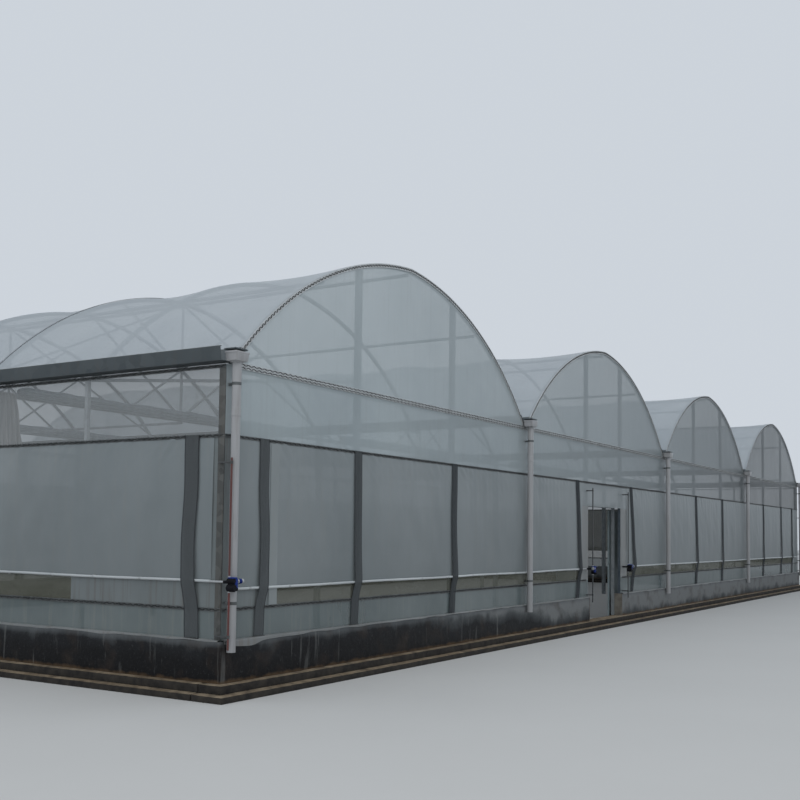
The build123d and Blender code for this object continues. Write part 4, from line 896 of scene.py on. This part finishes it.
def gutters():
    """Folded troughs: two sides on the arches' feet, a flat floor, and lips rolled outwards at the top."""
    bag, lips = Bag(), Bag()

    def foot(z, shift=GUTTER_GAP):
        return (first_run_x(z, shift), z)

    lip = [foot(4.022), (first_run_x(GUTTER_TOP, GUTTER_GAP) + 0.002, 4.0285),
           (first_run_x(GUTTER_TOP, GUTTER_GAP) - 0.006, GUTTER_TOP), foot(4.02, 0.006)]
    half = [foot(3.865), *lip, foot(3.871, 0.006)]
    section = np.array(half + [(-x, z) for x, z in half[::-1]])
    eave = np.array([(-0.166, 3.990), (-0.1885, 3.9905), (-0.1905, 3.9885), (-0.1905, 3.978), (-0.170, 3.829),
                     (-0.1685, 3.828), foot(3.828), *lip, foot(3.833, 0.006), (-0.166, 3.833), (-0.1855, 3.979),
                     (-0.1855, 3.9855), (-0.166, 3.986)])[::-1]
    sections = {LEFT: eave, RIGHT: eave[::-1] * np.array([-1, 1])}
    for vx in VALLEYS:
        path = [(vx, y, 0.0) for y in (BACK + 0.075, BACK + 0.07, FRONT - 0.07, FRONT - 0.075)]
        sweep(bag, path, sections.get(vx, section), (1, 0, 0))
    for vx in VALLEYS:
        for sign, line in GABLE_LINES:
            plate = [(vx - 0.012, line + sign * out, 3.962) for out in (0.07, 0.245)]
            bar(bag, *plate, 0.215, 0.016, (1, 0, 0), 0.003)
    bag.piece("gutter_troughs", "gutter_metal", "gutter_sheet", "gutters")
    for x in (-LIP_X, LIP_X):
        bar(lips, (x, FRONT - 0.074, LIP_Z), (x, BACK + 0.074, LIP_Z), 0.026, 0.006, (1, 0, 0), 0.002)
    lips.piece("gutter_lips", "gutter_lip", "gutter_sheet")


def drains():
    """Open rain heads: folded boxes that taper to the pipe, hollow, with a rolled rim. Under them white pipes, open
    at the foot, with a socket joint and clip bands that reach back to the wall."""
    heads, pipe, clip = Bag(), Bag(), Bag()
    # height, half width, half depth, distance out: up the outside, over the rim and down the inside
    head = [(3.812, 0.058, 0.058, 0.165), (3.824, 0.059, 0.059, 0.165), (3.826, 0.096, 0.078, 0.1655),
            (3.832, 0.101, 0.081, 0.1655), (3.915, 0.114, 0.0875, 0.1655), (3.917, 0.12, 0.0895, 0.1655),
            (3.936, 0.1205, 0.0895, 0.1655), (3.936, 0.113, 0.083, 0.1655), (3.9, 0.107, 0.08, 0.1655),
            (3.84, 0.094, 0.074, 0.1655), (3.83, 0.052, 0.052, 0.165), (3.813, 0.05, 0.05, 0.165)]
    # height and radius: down the outside, over the socket joint, and a short way up the inside
    tube = [(3.8315, 0.049), (3.8315, 0.0545), (3.3, 0.0515), (3.297, 0.0548), (3.2, 0.0548), (3.197, 0.0515),
            (0.533, 0.0515), (0.53, 0.05), (0.53, 0.0465), (0.7, 0.0465)]
    for vx in VALLEYS:
        for sign, line in GABLE_LINES:
            rings = [grid(*((vx, line + sign * out) + rounded(2 * hx, 2 * hy, min(hx, hy) * 0.14)).T, z)
                     for z, hx, hy, out in head]
            heads.add(np.array(rings), sheet_faces(len(rings), len(rings[0]), wrap=True)[:, ::-1])
            y = line + sign * DRAIN_AXIS
            rings = [grid(*((vx, y) + ring(radius, 32)).T, z) for z, radius in tube]
            pipe.add(np.array(rings), sheet_faces(len(rings), 32, wrap=True))
            for z in (3.57, 1.08):
                rod(clip, (vx, y, z - 0.018), (vx, y, z + 0.018), 0.0548, 32)
                bar(clip, (vx, line + sign * 0.0572, z), (vx, y - sign * 0.04, z), 0.034, 0.03, (1, 0, 0))
    heads.piece("hopper_boxes", "white_pvc", "pale_pvc", "hopper_heads", sharp=30)
    pipe.piece("downpipe_tubes", "white_pvc", "pale_pvc", "downpipes", sharp=30)
    clip.piece("downpipe_clips", "lock_metal", "galvanised_steel")


gutters()
drains()


# ---- motors and their poles
def pole_pieces():
    """Guide poles with the arms that hold them; the one at the left corner is red, the others grey."""
    corner, others = Bag(), Bag()
    y = FRONT - POLE_AXIS

    def pole(bag, x, top, heights, wall_y):
        rod(bag, (x, y, 0.56), (x, y, top), 0.0122)
        for z in heights:
            bar(others, (x, y - 0.005, z), (x, wall_y, z), 0.022, 0.022, (1, 0, 0))
            if wall_y == FRONT:
                arm = [(end, FRONT - 0.0125, z) for end in (math.copysign(16.0572, x), x)]
                bar(others, *arm, 0.024, 0.022, (0, 1, 0))
            rod(others, (x, y, z - 0.018), (x, y, z + 0.018), 0.017)

    pole(corner, -16.09, 2.72, (0.7075, 2.6675), FRONT)
    pole(others, 16.09, 2.72, (0.7075, 2.6675), FRONT)
    for x in (DOOR - 1.05, DOOR + 1.05):
        pole(others, x, 2.86, (0.7075, 2.8075), FRONT - 0.0572)
    corner.piece("guide_pole_corner", "pole_red", "pole_paint", "guide_poles")
    others.piece("guide_poles_others", "pole_grey", "pole_paint", "guide_poles")


def motor_pieces():
    """Crank motors: a black gearbox of two drums that slides on the pole, a blue housing beside it, and a
    finned blue motor with silver caps that points along the wall."""
    black, blue, silver = Bag(), Bag(), Bag()
    drum, axis = 0.0425, 0.255  # the housing's place along the wall, and the motor's distance out
    for x, wall, way, back in ((-16.09, "left", 1, 0.115), (16.09, "right", -1, 0.115),
                               (DOOR - 1.05, "front", -1, 0.067), (DOOR + 1.05, "front", 1, 0.067)):
        z = ROLL_Z[wall] - 0.02

        def run(bag, starts, ends, *size, shape=rod):
            """Between two points, each with its distance along, towards the motor, out and up from the gear."""
            shape(bag, *((x + way * along, FRONT - out, z + up) for along, out, up in (starts, ends)), *size)

        run(black, (-0.006, 0.278, 0.034), (-0.006, 0.176, 0.034), 0.031, 24, 0.008)
        run(black, (0, 0.282, -0.046), (0, 0.172, -0.046), 0.042, 28, 0.010)
        run(black, (0, 0.226, -0.05), (0, 0.226, 0.05), 0.034, 0.085, (1, 0, 0), 0.008, shape=bar)
        run(black, (-0.03 * way, axis, -0.055), (0.062, axis, -0.055), 0.025, 20, 0.005)
        run(black, (0, 0.174, 0.02), (0, back - 0.002, 0.02), 0.017, 16)
        run(blue, (0.01, 0.234, 0.062), (0.01, 0.234, 0.076), 0.07, 0.09, (1, 0, 0), 0.008, shape=bar)
        run(blue, (drum, axis, -0.05), (drum, axis, 0.062), 0.024, 24, 0.004)
        for up in (-0.034, -0.004):
            run(blue, (drum, axis, up - 0.004), (drum, axis, up + 0.004), 0.030, 24, 0.002)
        run(silver, (0.0625, axis, 0.03), (0.0805, axis, 0.03), 0.0265, 24)
        run(blue, (0.0785, axis, 0.03), (0.1325, axis, 0.03), 0.024, 24)
        for fin in np.linspace(0.0865, 0.1265, 5):
            run(blue, (fin - 0.0025, axis, 0.03), (fin + 0.0025, axis, 0.03), 0.0285, 24, 0.001)
        run(silver, (0.1325, axis, 0.03), (0.1605, axis, 0.03), 0.0285, 24, 0.004)
        run(silver, (0, POLE_AXIS, -0.10), (0, POLE_AXIS, 0.09), 0.0165, 16)
    for bag, name, look in ((black, "gearboxes", "motor_black"), (blue, "housings", "motor_blue"),
                            (silver, "caps", "motor_silver")):
        bag.piece("motor_" + name, look, "motor_paint", "roll_motors", sharp=35)


pole_pieces()
motor_pieces()


# ---- cloth inside
def screen_bundles():
    """Gathered shade screens under the ties: a roll of lengthwise pleats, radius = r * (1 + pleat * cos(9 a)),
    whose pleats drift along it and whose thickness varies, flattened where the tie presses on it."""
    x0, x1, rows, columns = 0.6, 7.4, 84, 54
    x = np.linspace(x0, x1, rows)[:, None]
    a = np.linspace(0, math.tau, columns + 1)[None, :-1]
    end = np.clip(np.minimum(x - x0, x1 - x) / 0.12, 0.25, 1) ** 0.5
    for i, vx in enumerate(SPANS):
        for k, y in enumerate(MAIN_YS):
            seed = 500 + i * 2 + k
            lump = 1 + 0.10 * ripples(x, x * 0, seed, 9, 0.25, 1.6)
            drift = 0.5 * ripples(x, x * 0, seed + 20, 5, 1.0, 4.0)
            pleat = 0.13 + 0.05 * ripples(x, a * 0.5, seed + 40, 8, 0.3, 1.5)
            r = 0.072 * np.clip(lump * (1 + pleat * np.cos(9 * a + drift)), 0.6, 1.24) * end
            points = grid(vx + x, np.minimum(y - 0.1183 + r * np.sin(a), y - 0.0305), 3.8297 + r * np.cos(a))
            bag = Bag()
            bag.add(points, sheet_faces(rows, columns, wrap=True)[:, ::-1])
            obj = bag.piece(f"shade_bundle_{i + 1}_{k + 1}", "shade_cloth", "shade_cloth", "shade_screens", sharp=180)


def hanging_cloth():
    """The end of a shade screen, tied to the first main frame and hanging down: its width grows from a narrow
    tied top to a flared foot, and across it runs swing * sin(folds), folds that are tight at the top."""
    lo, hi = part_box("hanging_screen")
    u = np.linspace(0, 1, 150)[:, None]
    v = np.linspace(0, 1, 44)[None, :]
    z = hi[2] - 0.003 + (lo[2] - hi[2] + 0.012) * v
    left = lo[0] + 0.21 - 0.202 * v**0.45
    right = lo[0] + 0.39 + 0.202 * v**0.45
    x = left + (right - left) * (u + 0.018 * np.sin(7 * u * math.pi + 3 * v))
    deep = 0.5 * (hi[1] - lo[1]) - 0.004
    folds = np.sin(math.tau * (7.5 * u + 0.2 * np.sin(2.5 * v + 5 * u)))
    swing = deep * (0.62 + 0.3 * v - 0.2 * np.cos(11 * u))
    y = (lo[1] + hi[1]) / 2 + np.clip(swing * folds, -deep, deep)
    hang("hanging_cloth", grid(np.clip(x, lo[0] + 0.003, hi[0] - 0.003), y, z), "hanging_cloth", "pale_cloth",
         "hanging_screen", rests_on=["truss_ties"], held="hung")


screen_bundles()
hanging_cloth()


# ---- stage, light and camera
def stage():
    """A pale floor, a soft even sky, and one wide lamp high on the left."""
    n = Nodes("stage_floor")
    n.done(n.ramp(n.noise(size=0.4), [(0, (0.52, 0.52, 0.51)), (1, (0.56, 0.56, 0.55))]), 0.9)
    bag, wide = Bag(), 160
    bag.add([(-wide, -wide, 0), (wide, -wide, 0), (wide, wide, 0), (-wide, wide, 0)], np.array([[0, 1, 2, 3]]))
    floor = bag.piece("stage_floor_plane", "stage_floor")
    floor.location.z = -0.001
    world = bpy.data.worlds.new("soft_sky")
    bpy.context.scene.world = world
    world.use_nodes = True
    sky = world.node_tree.nodes["Background"]
    sky.inputs["Color"].default_value = (0.66, 0.71, 0.77, 1)
    sky.inputs["Strength"].default_value = 0.92
    lamp = bpy.data.lights.new("soft_box", "AREA")
    lamp.shape = "RECTANGLE"
    lamp.size, lamp.size_y = 30, 30
    lamp.energy = 5200
    lamp.color = (1.0, 0.985, 0.96)
    holder = bpy.data.objects.new("soft_box", lamp)
    holder.location = (-34, -22, 34)
    holder.rotation_euler = (Vector((0, 0, 2)) - holder.location).to_track_quat("-Z", "Y").to_euler()
    bpy.context.scene.collection.objects.link(holder)


def camera():
    """The photograph's viewpoint: solved position, heading, pitch, roll and the lens shift of its framing."""
    place, picture_wide, focal, shift = (-25.11, -14.75, 1.881), 800, 1047.14, 73.64
    yaw, pitch, roll = math.radians(58.283), math.radians(3.307), math.radians(0.71)
    f = Vector((math.sin(yaw) * math.cos(pitch), math.cos(yaw) * math.cos(pitch), math.sin(pitch)))
    r0 = Vector((math.cos(yaw), -math.sin(yaw), 0))
    u0 = r0.cross(f)
    r = math.cos(roll) * r0 + math.sin(roll) * u0
    u = -math.sin(roll) * r0 + math.cos(roll) * u0
    data = bpy.data.cameras.new("photo_camera")
    data.sensor_fit = "HORIZONTAL"
    data.sensor_width = 36.0
    data.lens = focal / picture_wide * data.sensor_width
    data.shift_y = shift / picture_wide
    data.clip_end = 500
    cam = bpy.data.objects.new("photo_camera", data)
    cam.matrix_world = Matrix([(*row, at) for row, at in zip(zip(r, u, -f), place)] + [(0, 0, 0, 1)])
    bpy.context.scene.collection.objects.link(cam)
    bpy.context.scene.camera = cam


stage()
camera()
bpy.context.scene.view_settings.view_transform = "Standard"
bpy.context.scene.cycles.transparent_max_bounces = 32
